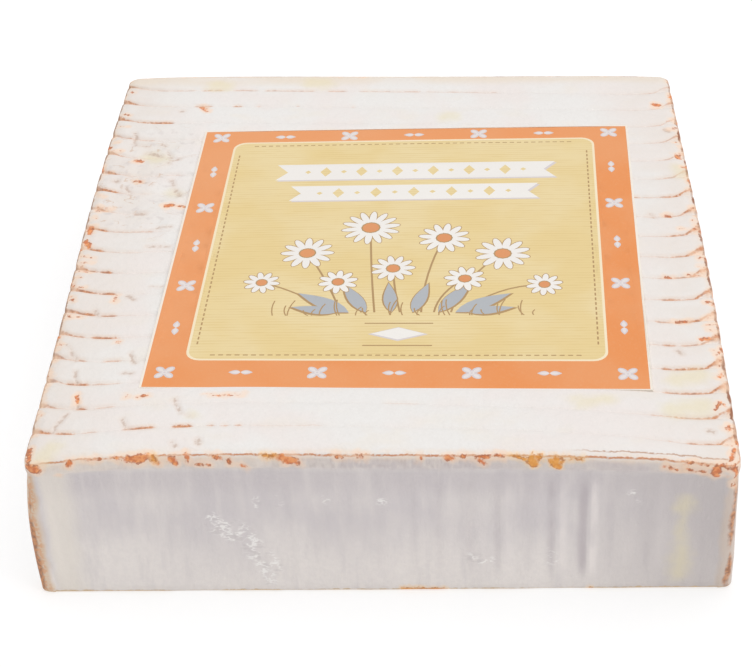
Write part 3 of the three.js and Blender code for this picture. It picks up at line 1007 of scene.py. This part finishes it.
def groove_lines(g, colour, row, rim, mark):
    """Thin orange-brown lines in the grooves with a peach fringe, wider and darker at the side edges."""
    wobble = (g.noise(5, 7) - 0.5) * 0.09
    jitter = (g.noise(1.4, 21, detail=3) - 0.5) * 0.05
    groove = g.math("MAXIMUM", g.math("MINIMUM", g.math("ROUND", row), GROOVE_COUNT), 1.0)
    bend = g.step(rim, -5, 0.5) * g.step(g.field("across"), -0.5, 0.5, 0.05, 0.24)
    distance = abs(row + wobble + jitter - bend - groove) * GROOVE_PITCH
    grit = g.noise(0.9, 8, detail=3)
    strength = mark * g.step(rim, 0.8, 2.4, 1, 0) * g.step(grit, 0.25, 0.5, 0.5, 1.15)
    width = g.math("MULTIPLY_ADD", strength, g.step(rim, -3, 0.2, 0, 1) + 0.34, 0.1)
    line = g.step(distance / width, 0.2, 1.3, 1, 0) * strength
    fringe = g.step(distance, 0.1, 1.6, 1, 0) * strength * 0.55
    colour = g.mix(g.math("MINIMUM", fringe, 0.55), colour, seen(241, 210, 186))
    ink = g.mix(g.step(grit, 0.42, 0.62), seen(214, 142, 92), seen(178, 112, 76))
    return edge_wedges(g, g.mix(g.math("MINIMUM", line, 0.9), colour, ink), rim, distance, mark)


def edge_wedges(g, colour, rim, distance, mark):
    """Orange rind that widens where the grooves run over the top's right edge."""
    ragged = g.noise(1.1, 35, detail=3)
    near = g.step(rim, -2.6, -0.2) * g.step(rim, 0.4, 1.6, 1, 0)
    place = near * g.step(g.field("across"), 0.4, 0.9) * mark
    spread = distance + (ragged - 0.5) * 2.4
    halo = g.math("MINIMUM", g.step(spread, 0.6, 2.2, 1, 0) * place, 0.6)
    wedge = g.math("MINIMUM", g.step(spread, 0.25, 0.7, 1.5, 0) * place, 0.9)
    ink = g.mix(ragged, seen(190, 104, 60), seen(220, 144, 92))
    return g.mix(wedge, g.mix(halo, colour, seen(242, 206, 176)), ink)


def edge_lines(g, colour, rim):
    """The orange-brown lines that end the top's bloom: thin in front, doubled at the right, dark at sides."""
    ragged = g.noise(3.2, 9, detail=3)
    fine = g.noise(0.8, 10, detail=3)
    front = g.field("front")
    across = g.field("across")
    side = 1 - front
    place = rim + (ragged - 0.5) * 1.2 + (fine - 0.5) * 0.6

    def line_at(level, inner, outer):
        return g.step(abs(place - level), inner, outer, 1, 0)

    halo = g.step(abs(rim), 0.1, 2, 1, 0) * g.step(ragged, 0.4, 0.62, 0.1, 0.5)
    thin = line_at(0.1, 0.1, 0.32) * g.step(fine, 0.32, 0.5, 0.35, 0.9) * front
    second = line_at(-1.3, 0.06, 0.3) * g.step(fine, 0.32, 0.5, 0.3, 0.85)
    second = second * g.step(across, 0.52, 0.64) * front
    dark = line_at(0, 0.3, 0.62) * g.step(ragged, 0.4, 0.55, 0.35, 0.95)
    right_side = dark * side * g.step(across, 0, 0.4)
    left_side = line_at(0, 0.2, 0.5) * side * g.step(across, -0.4, 0, 0.9, 0)
    colour = g.mix(halo, colour, seen(240, 212, 184, 0.98))
    colour = g.mix(thin, colour, seen(200, 130, 86, 0.92))
    colour = g.mix(second, colour, seen(190, 146, 118))
    colour = g.mix(right_side, colour, seen(150, 95, 66, 0.95))
    return g.mix(left_side, colour, seen(168, 130, 106, 0.95))


def corner_colour(g, colour, rim):
    """Bare rind on the upright corners: an orange-brown line, then ochre, and at the left a pale pillar,
    partly paler bloom and partly painted light where the wall turns towards the light from the right.
    """
    wavy = g.field("corner") + (g.noise(3.4, 11, detail=4, stretch=(1, 1, 1.6)) - 0.5) * 3
    wall = g.step(rim, 1.5, 4)
    left = g.step(g.field("across"), -0.5, 0, 1, 0)
    specks = g.step(g.noise(0.9, 32, detail=3), 0.4, 0.58)
    colour = g.coats(
        colour, WALL_LIGHT,
        # pale pillar: partly paler bloom, partly painted light where the wall faces the light from the right
        (g.step(wavy, 2.6, 4.4) * g.step(wavy, 7, 12, 1, 0) * wall * left * 0.7, 217, 209, 199),
        (g.step(wavy, 1.4, 3.2, 0.75, 0) * wall * g.mix_numbers(left, 0.45, 1), 208, 180, 148),
        (g.step(wavy, 1, 2.4, 0.7, 0) * specks * left * wall, 206, 150, 108),
    )
    ink = g.mix(specks, seen(150, 98, 66, WALL_LIGHT), seen(194, 132, 86, WALL_LIGHT))
    return foot_line(g, g.mix(g.step(wavy, 0.1, 1, 0.95, 0) * wall, colour, ink))


def foot_line(g, colour):
    """A thin broken ochre line where the walls meet the table."""
    ragged = (g.noise(1.6, 27, detail=3) - 0.5) * 1.2
    line = g.step(g.axis("Z") + ragged, 0.25, 0.75, 1, 0)
    broken = g.step(g.noise(14, 29), 0.4, 0.56, 0.25, 0.85)
    return g.mix(line * broken, colour, seen(196, 164, 118, WALL_LIGHT))


def rind_marks(g, colour):
    """The stains, scars and orange spots that the fields place."""
    fray = (g.noise(0.9, 12, detail=4) - 0.5) * 1.5
    haze = (g.noise(3, 13) - 0.5) * 3
    tone = g.noise(0.9, 14, detail=3)
    patchy = g.step(g.noise(1.1, 30, detail=3), 0.44, 0.56)

    def cover(name, low, high, most, blur=fray):
        return g.step(g.field(name) + blur, low, high, 0, most)

    def ring(name):
        whole = cover(name, -0.25, 0, 1)
        return (whole - whole * cover(name, 0.1, 0.35, 1)) * patchy

    colour = g.mix(cover("stain", -2.2, 2, 0.5, haze), colour, seen(226, 214, 174, 0.95))
    colour = g.mix(cover("scar", -1.2, 0.1, 0.35), colour, seen(228, 208, 194))
    colour = g.mix(cover("scar", -0.25, 0.3, 0.55), colour, seen(190, 162, 144))
    colour = g.mix(cover("rust", -1.5, 0, 0.6, haze), colour, seen(243, 210, 182, 0.95))
    ink = g.mix(g.step(tone, 0.32, 0.64), seen(232, 154, 94, 0.9), seen(204, 110, 58, 0.9))
    colour = g.mix(cover("rust", -0.3, 0.3, 0.95), colour, ink)
    colour = g.mix(ring("rust") * 0.8, colour, seen(166, 98, 64, 0.9))
    colour = g.mix(cover("amber", -1.1, 0, 0.6), colour, seen(240, 204, 156, 0.9))
    gold = g.mix(g.step(tone, 0.32, 0.64), seen(228, 162, 78, 0.9), seen(217, 140, 52, 0.9))
    colour = g.mix(cover("amber", -0.3, 0.3, 0.95), colour, gold)
    return g.mix(ring("amber") * 0.7, colour, seen(176, 108, 56, 0.9))


def hairlines(g, colour):
    """Faint brown hairlines and painted grey shade in the pits of the rough left margin."""
    rough = g.field("rough")
    waver = abs(g.noise(4.5, 22, detail=3, stretch=(1.5, 1, 1)) - 0.5)
    broken = g.step(g.noise(3.4, 23), 0.5, 0.62)
    line = g.step(waver, 0.004, 0.02, 1, 0) * broken * rough
    colour = g.mix(line * 0.6, colour, seen(212, 180, 154))
    # painted grey shade in the pits
    painted_pit_shade = g.step(g.noise(2.6, 24, detail=3), 0.55, 0.72, 0, 0.55) * rough
    return g.mix(painted_pit_shade, colour, seen(216, 207, 204))


def painted_wrinkle_glints(g, colour):
    """Painted white highlights along the fine wrinkles of the front wall, with painted shade beside them."""
    area = g.step(g.field("wrinkle"), -0.9, 0.7)
    crest = g.noise(1.2, 25, detail=2, stretch=(1.8, 1, 0.8))
    waver = abs(crest - 0.5)
    broken = g.step(g.noise(2.6, 33, detail=2), 0.44, 0.6)
    # painted white highlights on the wrinkle crests, and painted shade on one side of them
    painted_glint = g.step(waver, 0.015, 0.07, 1, 0) * area * broken
    shade = g.step(crest, 0.34, 0.44, 0.3, 0) * area
    colour = g.mix(shade, colour, seen(184, 177, 176, WALL_LIGHT))
    return g.mix(painted_glint * 0.75, colour, seen(236, 233, 230, WALL_LIGHT))


def back_strip(g, colour):
    """The back strip of the top is creamier than the rest."""
    patches = g.noise(8, 15, detail=2, stretch=(2, 1, 1))
    share = g.field("back") * g.step(patches, 0.3, 0.6, 0.3, 0.8)
    return g.mix(share, colour, seen(237, 223, 206))


def rind_material():
    g = Graph("rind", 0.55)
    row = g.field("row")
    rim = g.field("rim")
    colour = bloom_colour(g, rim)
    colour = back_strip(g, colour)
    colour = hairlines(g, colour)
    colour = corner_colour(g, colour, rim)
    colour = groove_lines(g, colour, row, rim, g.field("mark"))
    colour = edge_lines(g, colour, rim)
    colour = rind_marks(g, colour)
    colour = painted_wrinkle_glints(g, colour)
    down = g.bump(g.noise(0.5, 16, detail=3), 0.06)
    brushed = g.bump(g.noise(1.3, 26, detail=3, stretch=(1, 1, 5)), 0.1, down)
    felt = g.bump(g.noise(2.4, 17, detail=3), 0.2, brushed)
    return g.finish(colour, felt)


# The label's print, in millimetres from the label's middle. Each shape is (ink, outline).

def rounded_box(x, y, width, height, radius, arc_steps=5):
    """An upright box with round corners about its middle."""
    outline = []
    for corner, (sign_x, sign_y) in enumerate(((1, 1), (-1, 1), (-1, -1), (1, -1))):
        centre_x = x + sign_x * (width / 2 - radius)
        centre_y = y + sign_y * (height / 2 - radius)
        for step in range(arc_steps + 1):
            angle = (corner + step / arc_steps) * math.pi / 2
            outline.append((centre_x + radius * math.cos(angle), centre_y + radius * math.sin(angle)))
    return outline


def box(x, y, width, height):
    right, top = width / 2, height / 2
    return [(x + right, y + top), (x - right, y + top), (x - right, y - top), (x + right, y - top)]


def turned(x, y, turn, along, beside):
    """A place so far along and beside a line that starts at x, y and is turned from the x axis."""
    return (x + along * math.cos(turn) - beside * math.sin(turn),
            y + along * math.sin(turn) + beside * math.cos(turn))


def oval(x, y, length, width, turn=0.0, steps=12):
    """An ellipse about its middle, its length turned from the x axis."""
    angles = [2 * math.pi * step / steps for step in range(steps)]
    return [turned(x, y, turn, length / 2 * math.cos(angle), width / 2 * math.sin(angle)) for angle in angles]


def leaf(x, y, length, width, turn, steps=7):
    """A pointed leaf from its stalk at x, y."""
    shares = [step / steps for step in range(steps + 1)]
    edge = [(length * share, width / 2 * math.sin(math.pi * share ** 0.8)) for share in shares]
    edge += [(along, -beside) for along, beside in edge[-2:0:-1]]
    return [turned(x, y, turn, along, beside) for along, beside in edge]


def band(points, width):
    """A strip of even width along a line of points."""
    line = np.array(points, float)
    along = np.gradient(line, axis=0)
    along /= np.linalg.norm(along, axis=1)[:, None]
    beside = np.stack([-along[:, 1], along[:, 0]], axis=1) * width / 2
    return [tuple(point) for point in np.concatenate([line + beside, (line - beside)[::-1]])]


def arc(start, end, lift, steps=8):
    """Points from start to end on a bow that is lift to one side in its middle."""
    shares = np.linspace(0, 1, steps + 1)[:, None]
    start, end = np.array(start, float), np.array(end, float)
    way = end - start
    beside = np.array([-way[1], way[0]]) / np.linalg.norm(way)
    return start + way * shares + beside * lift * 4 * shares * (1 - shares)


def rosette(x, y, size, turn=0.0):
    """A four-petalled border flower."""
    shapes = []
    for ink, out, length, width in (("lilac", 0.3, 0.52, 0.36), ("pearl", 0.31, 0.36, 0.2)):
        for petal in range(4):
            angle = turn + petal * math.pi / 2
            middle = turned(x, y, angle, size * out, 0)
            shapes.append((ink, oval(*middle, size * length, size * width, angle)))
    shapes.append(("pearl", oval(x, y, size * 0.26, size * 0.26)))
    shapes.append(("lilac", oval(x, y, size * 0.12, size * 0.12, steps=8)))
    return shapes


def sprig(x, y, length, turn):
    """A border leaf pair, drawn between the rosettes."""
    shapes = []
    for way in (0, math.pi):
        shapes.append(("lilac", leaf(x, y, length / 2, length * 0.3, turn + way)))
        shapes.append(("pearl", leaf(x, y, length * 0.42, length * 0.17, turn + way)))
    return shapes


def border_shapes():
    """Rosettes and leaf pairs by turns along the orange border."""
    shapes = []
    mid_left, mid_right = (PANEL_LEFT - ORANGE_HALF) / 2, (PANEL_RIGHT + ORANGE_HALF) / 2
    mid_front, mid_back = (PANEL_FRONT - ORANGE_HALF) / 2, (PANEL_BACK + ORANGE_HALF) / 2
    for index in range(BORDER_COUNT):
        share = index / (BORDER_COUNT - 1)
        along_x = lerp(mid_left, mid_right, share)
        along_y = lerp(mid_front, mid_back, share)
        places = [(along_x, mid_front, 0), (along_x, mid_back, 0)]
        if 0 < index < BORDER_COUNT - 1:
            places += [(mid_left, along_y, math.pi / 2), (mid_right, along_y, math.pi / 2)]
        for x, y, turn in places:
            if index % 2:
                shapes += sprig(x, y, ORNAMENT * 1.1, turn)
            else:
                shapes += rosette(x, y, ORNAMENT, math.pi / 4)
    return shapes


def ribbon(x, y, width, height, tail):
    """A plain white ribbon with forked ends, on its own lilac shadow."""
    right, top = width / 2, height / 2
    outline = [(right, top), (-right, top), (tail - right, 0)]
    outline += [(-px, -py) for px, py in outline]
    shapes = []
    for ink, shift_x, shift_y in (("lilac", 0.5, -0.6), ("white", 0, 0)):
        shapes.append((ink, [(x + px + shift_x, y + py + shift_y) for px, py in outline]))
    return shapes


def banner_shapes():
    """Two ribbons with a row of straw lozenges on each."""
    shapes = []
    for x, y, width, height, lozenges in BANNERS:
        shapes += ribbon(x, y, width, height, height * 0.4)
        span = width - height * 2.2
        for index in range(lozenges):
            middle = x + lerp(-span / 2, span / 2, index / (lozenges - 1))
            reach_x, reach_y = (1.5, 2.3) if index % 2 else (0.8, 0.8)
            shapes.append(("straw", diamond(middle, y, reach_x, reach_y)))
    return shapes


def daisy(x, y, radius, petals, turn):
    """A daisy seen from the front: white petals with brown edges round an orange eye."""
    shapes = []
    for ink, grow in (("brown", 0.45), ("white", 0.0)):
        for petal in range(petals):
            angle = turn + 2 * math.pi * petal / petals
            middle = radius * 0.62
            width = 2 * math.pi * middle / petals * 0.86
            petal_middle = turned(x, y, angle, middle, 0)
            shapes.append((ink, oval(*petal_middle, radius * 0.76 + grow, width + grow, angle)))
    shapes.append(("brown", oval(x, y, radius * 0.62 + 0.3, radius * 0.62 + 0.3)))
    shapes.append(("eye", oval(x, y, radius * 0.56, radius * 0.56)))
    return shapes


def meadow_shapes():
    """A tuft of daisies with blue-grey leaves and brown grass."""
    shapes = []
    for x, foot, radius, height, petals in DAISIES:
        head = (x, MEADOW_FOOT + height)
        shapes.append(("brown", band(arc((foot, MEADOW_FOOT), head, (x - foot) * 0.12 + 0.6), 0.5)))
    for x, length, turn in LEAVES:
        turn, width = math.radians(turn), length * 0.27
        shapes.append(("brown", leaf(x, MEADOW_FOOT - 0.4, length + 0.9, width + 0.7, turn)))
        shapes.append(("slate", leaf(x, MEADOW_FOOT, length, width, turn)))
    for index in range(GRASS_COUNT):
        x = lerp(-30, 32, index / (GRASS_COUNT - 1)) + 1.6 * math.sin(index * 2.4)
        tip = (x + 1.4 * math.sin(index * 1.7), MEADOW_FOOT + 3 + 2.2 * math.sin(index * 1.1 + 1))
        shapes.append(("brown", band(arc((x, MEADOW_FOOT - 1.2), tip, 0.4, steps=4), 0.32)))
    for index, (x, foot, radius, height, petals) in enumerate(DAISIES):
        shapes += daisy(x, MEADOW_FOOT + height, radius, petals, 0.3 * index)
    return shapes


def diamond(x, y, reach_x, reach_y):
    return [(x + reach_x, y), (x, y + reach_y), (x - reach_x, y), (x, y - reach_y)]


def fine_rules():
    """Dotted brown rules just inside the panel, and a white lozenge between two rules below the meadow."""
    shapes = []
    middle_x, middle_y = PANEL_MIDDLE
    for offset in np.arange(-RULE_REACH, RULE_REACH, RULE_STEP):
        for y in (PANEL_FRONT + RULE_INSET, PANEL_BACK - RULE_INSET):
            shapes.append(("brown", box(middle_x + offset, y, RULE_STEP * 0.6, RULE_WIDTH)))
        for x in (PANEL_LEFT + RULE_INSET, PANEL_RIGHT - RULE_INSET):
            shapes.append(("brown", box(x, middle_y + offset, RULE_WIDTH, RULE_STEP * 0.6)))
    shapes.append(("brown", band([(-8, -32.4), (8, -32.4)], 0.4)))
    shapes.append(("lilac", diamond(0, -36.6, 7, 2.7)))
    shapes.append(("white", diamond(0, -36.4, 6.2, 2.3)))
    shapes.append(("brown", band([(-8, -41), (8, -41)], 0.4)))
    return shapes


def print_shapes():
    """All shapes of the label, each over the ones before it."""
    middle_x, middle_y = PANEL_MIDDLE
    width, height = PANEL_RIGHT - PANEL_LEFT, PANEL_BACK - PANEL_FRONT
    shapes = [("paper", box(0, 0, LABEL_SIDE, LABEL_SIDE))]
    shapes.append(("orange", box(0, -0.15, 2 * ORANGE_HALF, 2 * ORANGE_HALF + 0.3)))
    outline = PANEL_OUTLINE * 2
    shapes.append(("cream", rounded_box(middle_x, middle_y, width + outline, height + outline, 3.4)))
    shapes.append(("straw", rounded_box(middle_x, middle_y, width, height, 3)))
    return shapes + border_shapes() + banner_shapes() + meadow_shapes() + fine_rules()


def anticlockwise(outline):
    """The outline turned so that its inside is on the left, as the triangulation needs."""
    x, y = np.array(outline).T
    area = np.sum(x * np.roll(y, -1) - y * np.roll(x, -1))
    return outline if area > 0 else outline[::-1]


def triangulated_print():
    """Points and triangles that fill the label, with the ink of each triangle."""
    shapes = [(ink, anticlockwise(outline)) for ink, outline in print_shapes()]
    steps = np.arange(-LABEL_SIDE / 2 + PRINT_CELL, LABEL_SIDE / 2, PRINT_CELL)
    spots = [Vector((x, y)) for x in steps for y in steps]
    outlines = []
    for _, outline in shapes:
        outlines.append(list(range(len(spots), len(spots) + len(outline))))
        spots += [Vector(point) for point in outline]
    points, _, triangles, _, _, sources = delaunay_2d_cdt(spots, [], outlines, 0, 1e-4)
    inks = [shapes[max(source)][0] if source else "paper" for source in sources]
    return np.array([tuple(point) for point in points]), [tuple(face) for face in triangles], inks


def label_height(x, y):
    """Height of the rind's surface under the label, which bridges the grooves."""
    row = row_at(x, y)
    fraction = row - np.floor(row)
    crown = 0.6 * BAND_CROWN * CROWN_SHARE
    sag = LABEL_SAG * (1 - 4 * fraction * (1 - fraction))
    return top_height(x, y) + crown - sag


def label_points(plane):
    """Places of the label's points on the slab: the edges wander a little and the paper cockles."""
    u, v = plane[:, 0], plane[:, 1]
    drift_u, drift_v = (corner_mix(LABEL_DRIFT, axis, u, v, LABEL_SIDE, LABEL_SIDE) for axis in (0, 1))
    along_u = np.outer(u, (1, 0, 0))
    along_v = np.outer(v, (1, 0, 0)) + (0, 1, 0)
    half = LABEL_SIDE / 2
    front, back, sides = (smoothstep(way, half - LABEL_MARGIN, half) for way in (-v, v, np.abs(u)))
    v = v + front * (0.22 * noise(along_u, 5, 31) + 0.1 * noise(along_u, 1.6, 32))
    v = v + back * 0.15 * noise(along_u, 7, 33)
    u = u + sides * 0.15 * noise(along_v, 9, 34)
    u, v = u + drift_u, v + drift_v
    x = u * math.cos(LABEL_TURN) - v * math.sin(LABEL_TURN) + LABEL_X
    y = u * math.sin(LABEL_TURN) + v * math.cos(LABEL_TURN) + LABEL_Y
    z = label_height(x, y)
    spread = np.stack([x, y, z], axis=1)
    z = z + 0.05 * noise(spread, (16, 12, 99), 35) + 0.02 * noise(spread, (5, 4, 99), 36)
    return np.stack([x, y, z], axis=1)


def make_label(shift):
    plane, triangles, inks = triangulated_print()
    low = label_points(plane) - (0, 0, PAPER_SUNK)
    count = len(low)
    uses = dict.fromkeys(edge for face in triangles for edge in zip(face, face[1:] + face[:1]))
    rim = [edge for edge in uses if edge[::-1] not in uses]
    faces = [tuple(index + count for index in face) for face in triangles]
    faces += [face[::-1] for face in triangles]
    faces += [(first, second, second + count, first + count) for first, second in rim]
    points = np.concatenate([low, low + (0, 0, PAPER_SUNK + PAPER_PROUD)])
    piece = link("label_paper", points + shift, faces)
    names = list(dict.fromkeys(inks))
    slots = [names.index(ink) for ink in inks] + [names.index("paper")] * (len(faces) - len(inks))
    piece.data.polygons.foreach_set("material_index", slots)
    for name in names:
        piece.data.materials.append(straw_material() if name == "straw" else ink_material(name))
    piece.data.shade_smooth()
    piece.data.set_sharp_from_angle(angle=LABEL_SHARP)
    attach(piece, "root")
    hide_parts("label")


def paper_bumps(g):
    """Paper fibres over a soft cockle."""
    fibres = g.bump(g.noise(0.35, 51, detail=3, stretch=(2.5, 1, 1)), 0.012)
    return g.bump(g.noise(6, 52), 0.06, fibres)


def ink_material(name):
    """A printed ink: the paper shows through in grains and soft patches, more to the left and back."""
    g = Graph("ink_" + name, 0.55)
    colour, paler = (seen(*tint) for tint in INKS[name])
    patches = g.step(g.noise(22, 53, detail=2), 0.34, 0.66, 0, 0.3)
    specks = g.step(g.noise(0.6, 54, detail=3), 0.5, 0.8, 0, INK_GRAIN)
    faded = g.step(g.axis("Y") - g.axis("X"), -60, 90, 0, INK_FADE)
    for share in (faded, patches, specks):
        colour = g.mix(share, colour, paler)
    return g.finish(colour, paper_bumps(g))


def straw_material():
    """Straw paper with fine laid lines across it."""
    g = Graph("ink_straw", 0.6)
    wander = g.noise(9, 55) * 0.6
    phase = g.axis("Y") * 2 * math.pi / LAID_PITCH + wander
    line = g.step(g.math("SINE", phase), -0.2, 1)
    broken = g.step(g.noise(1.2, 56, detail=3, stretch=(6, 1, 1)), 0.35, 0.65, 0.1, 0.6)
    patches = g.step(g.noise(18, 57), 0.35, 0.65)
    shown = g.mix(patches, seen(233, 208, 148), seen(236, 215, 164))
    shown = g.mix(line * broken, shown, seen(222, 194, 132))
    return g.finish(shown, paper_bumps(g))


# The set

def make_camera():
    """The photograph's own camera."""
    back = Vector((math.sin(CAMERA_AZIMUTH) * math.cos(CAMERA_ELEVATION),
                   -math.cos(CAMERA_AZIMUTH) * math.cos(CAMERA_ELEVATION),
                   math.sin(CAMERA_ELEVATION)))
    level = Vector((math.cos(CAMERA_AZIMUTH), math.sin(CAMERA_AZIMUTH), 0))
    steep = back.cross(level)
    right = level * math.cos(CAMERA_ROLL) + steep * math.sin(CAMERA_ROLL)
    up = steep * math.cos(CAMERA_ROLL) - level * math.sin(CAMERA_ROLL)
    data = bpy.data.cameras.new("camera")
    data.lens = CAMERA_LENS
    data.sensor_width = CAMERA_SENSOR
    camera = bpy.data.objects.new("camera", data)
    turn = Matrix((right, up, back)).transposed().to_4x4()
    place = (Vector(CAMERA_TARGET) + back * CAMERA_DISTANCE) * MM
    camera.matrix_world = Matrix.Translation(place) @ turn
    bpy.context.scene.collection.objects.link(camera)
    bpy.context.scene.camera = camera


def make_floor():
    """A plain white floor that runs out of sight."""
    bpy.ops.mesh.primitive_plane_add(size=FLOOR_SIDE)
    floor = bpy.context.object
    floor.name = "floor"
    g = Graph("floor", 0.9)
    g.shader.inputs["Base Color"].default_value = FLOOR_COLOUR
    g.shader.inputs["Specular IOR Level"].default_value = 0
    g.shader.inputs["Emission Color"].default_value = (1, 1, 1, 1)
    g.shader.inputs["Emission Strength"].default_value = FLOOR_GLOW
    floor.data.materials.append(g.material)


def make_sun(name, power, width, turn):
    sun = bpy.data.lights.new(name, "SUN")
    sun.energy = power
    sun.angle = width
    lamp = bpy.data.objects.new(name, sun)
    lamp.rotation_euler = turn
    bpy.context.scene.collection.objects.link(lamp)


def make_lights():
    """A wide overhead softbox and a smaller one at the right, in a studio that the camera sees as white."""
    make_sun("softbox", SOFTBOX_POWER, SOFTBOX_WIDTH, SOFTBOX_TURN)
    from_right = Vector(SIDELIGHT_FROM).to_track_quat("Z", "Y").to_euler()
    make_sun("sidelight", SIDELIGHT_POWER, SIDELIGHT_WIDTH, from_right)
    world = bpy.data.worlds.new("studio")
    bpy.context.scene.world = world
    world.use_nodes = True
    nodes, links = world.node_tree.nodes, world.node_tree.links
    light = nodes["Background"]
    light.inputs["Color"].default_value = (1, 1, 1, 1)
    light.inputs["Strength"].default_value = STUDIO_POWER
    backdrop = nodes.new("ShaderNodeBackground")
    backdrop.inputs["Color"].default_value = (1, 1, 1, 1)
    path = nodes.new("ShaderNodeLightPath")
    mix = nodes.new("ShaderNodeMixShader")
    links.new(path.outputs["Is Camera Ray"], mix.inputs[0])
    links.new(light.outputs[0], mix.inputs[1])
    links.new(backdrop.outputs[0], mix.inputs[2])
    links.new(mix.outputs[0], nodes["World Output"].inputs["Surface"])


bpy.context.scene.view_settings.view_transform = "Standard"
make_camera()
make_floor()
make_lights()
make_label(make_cheese())
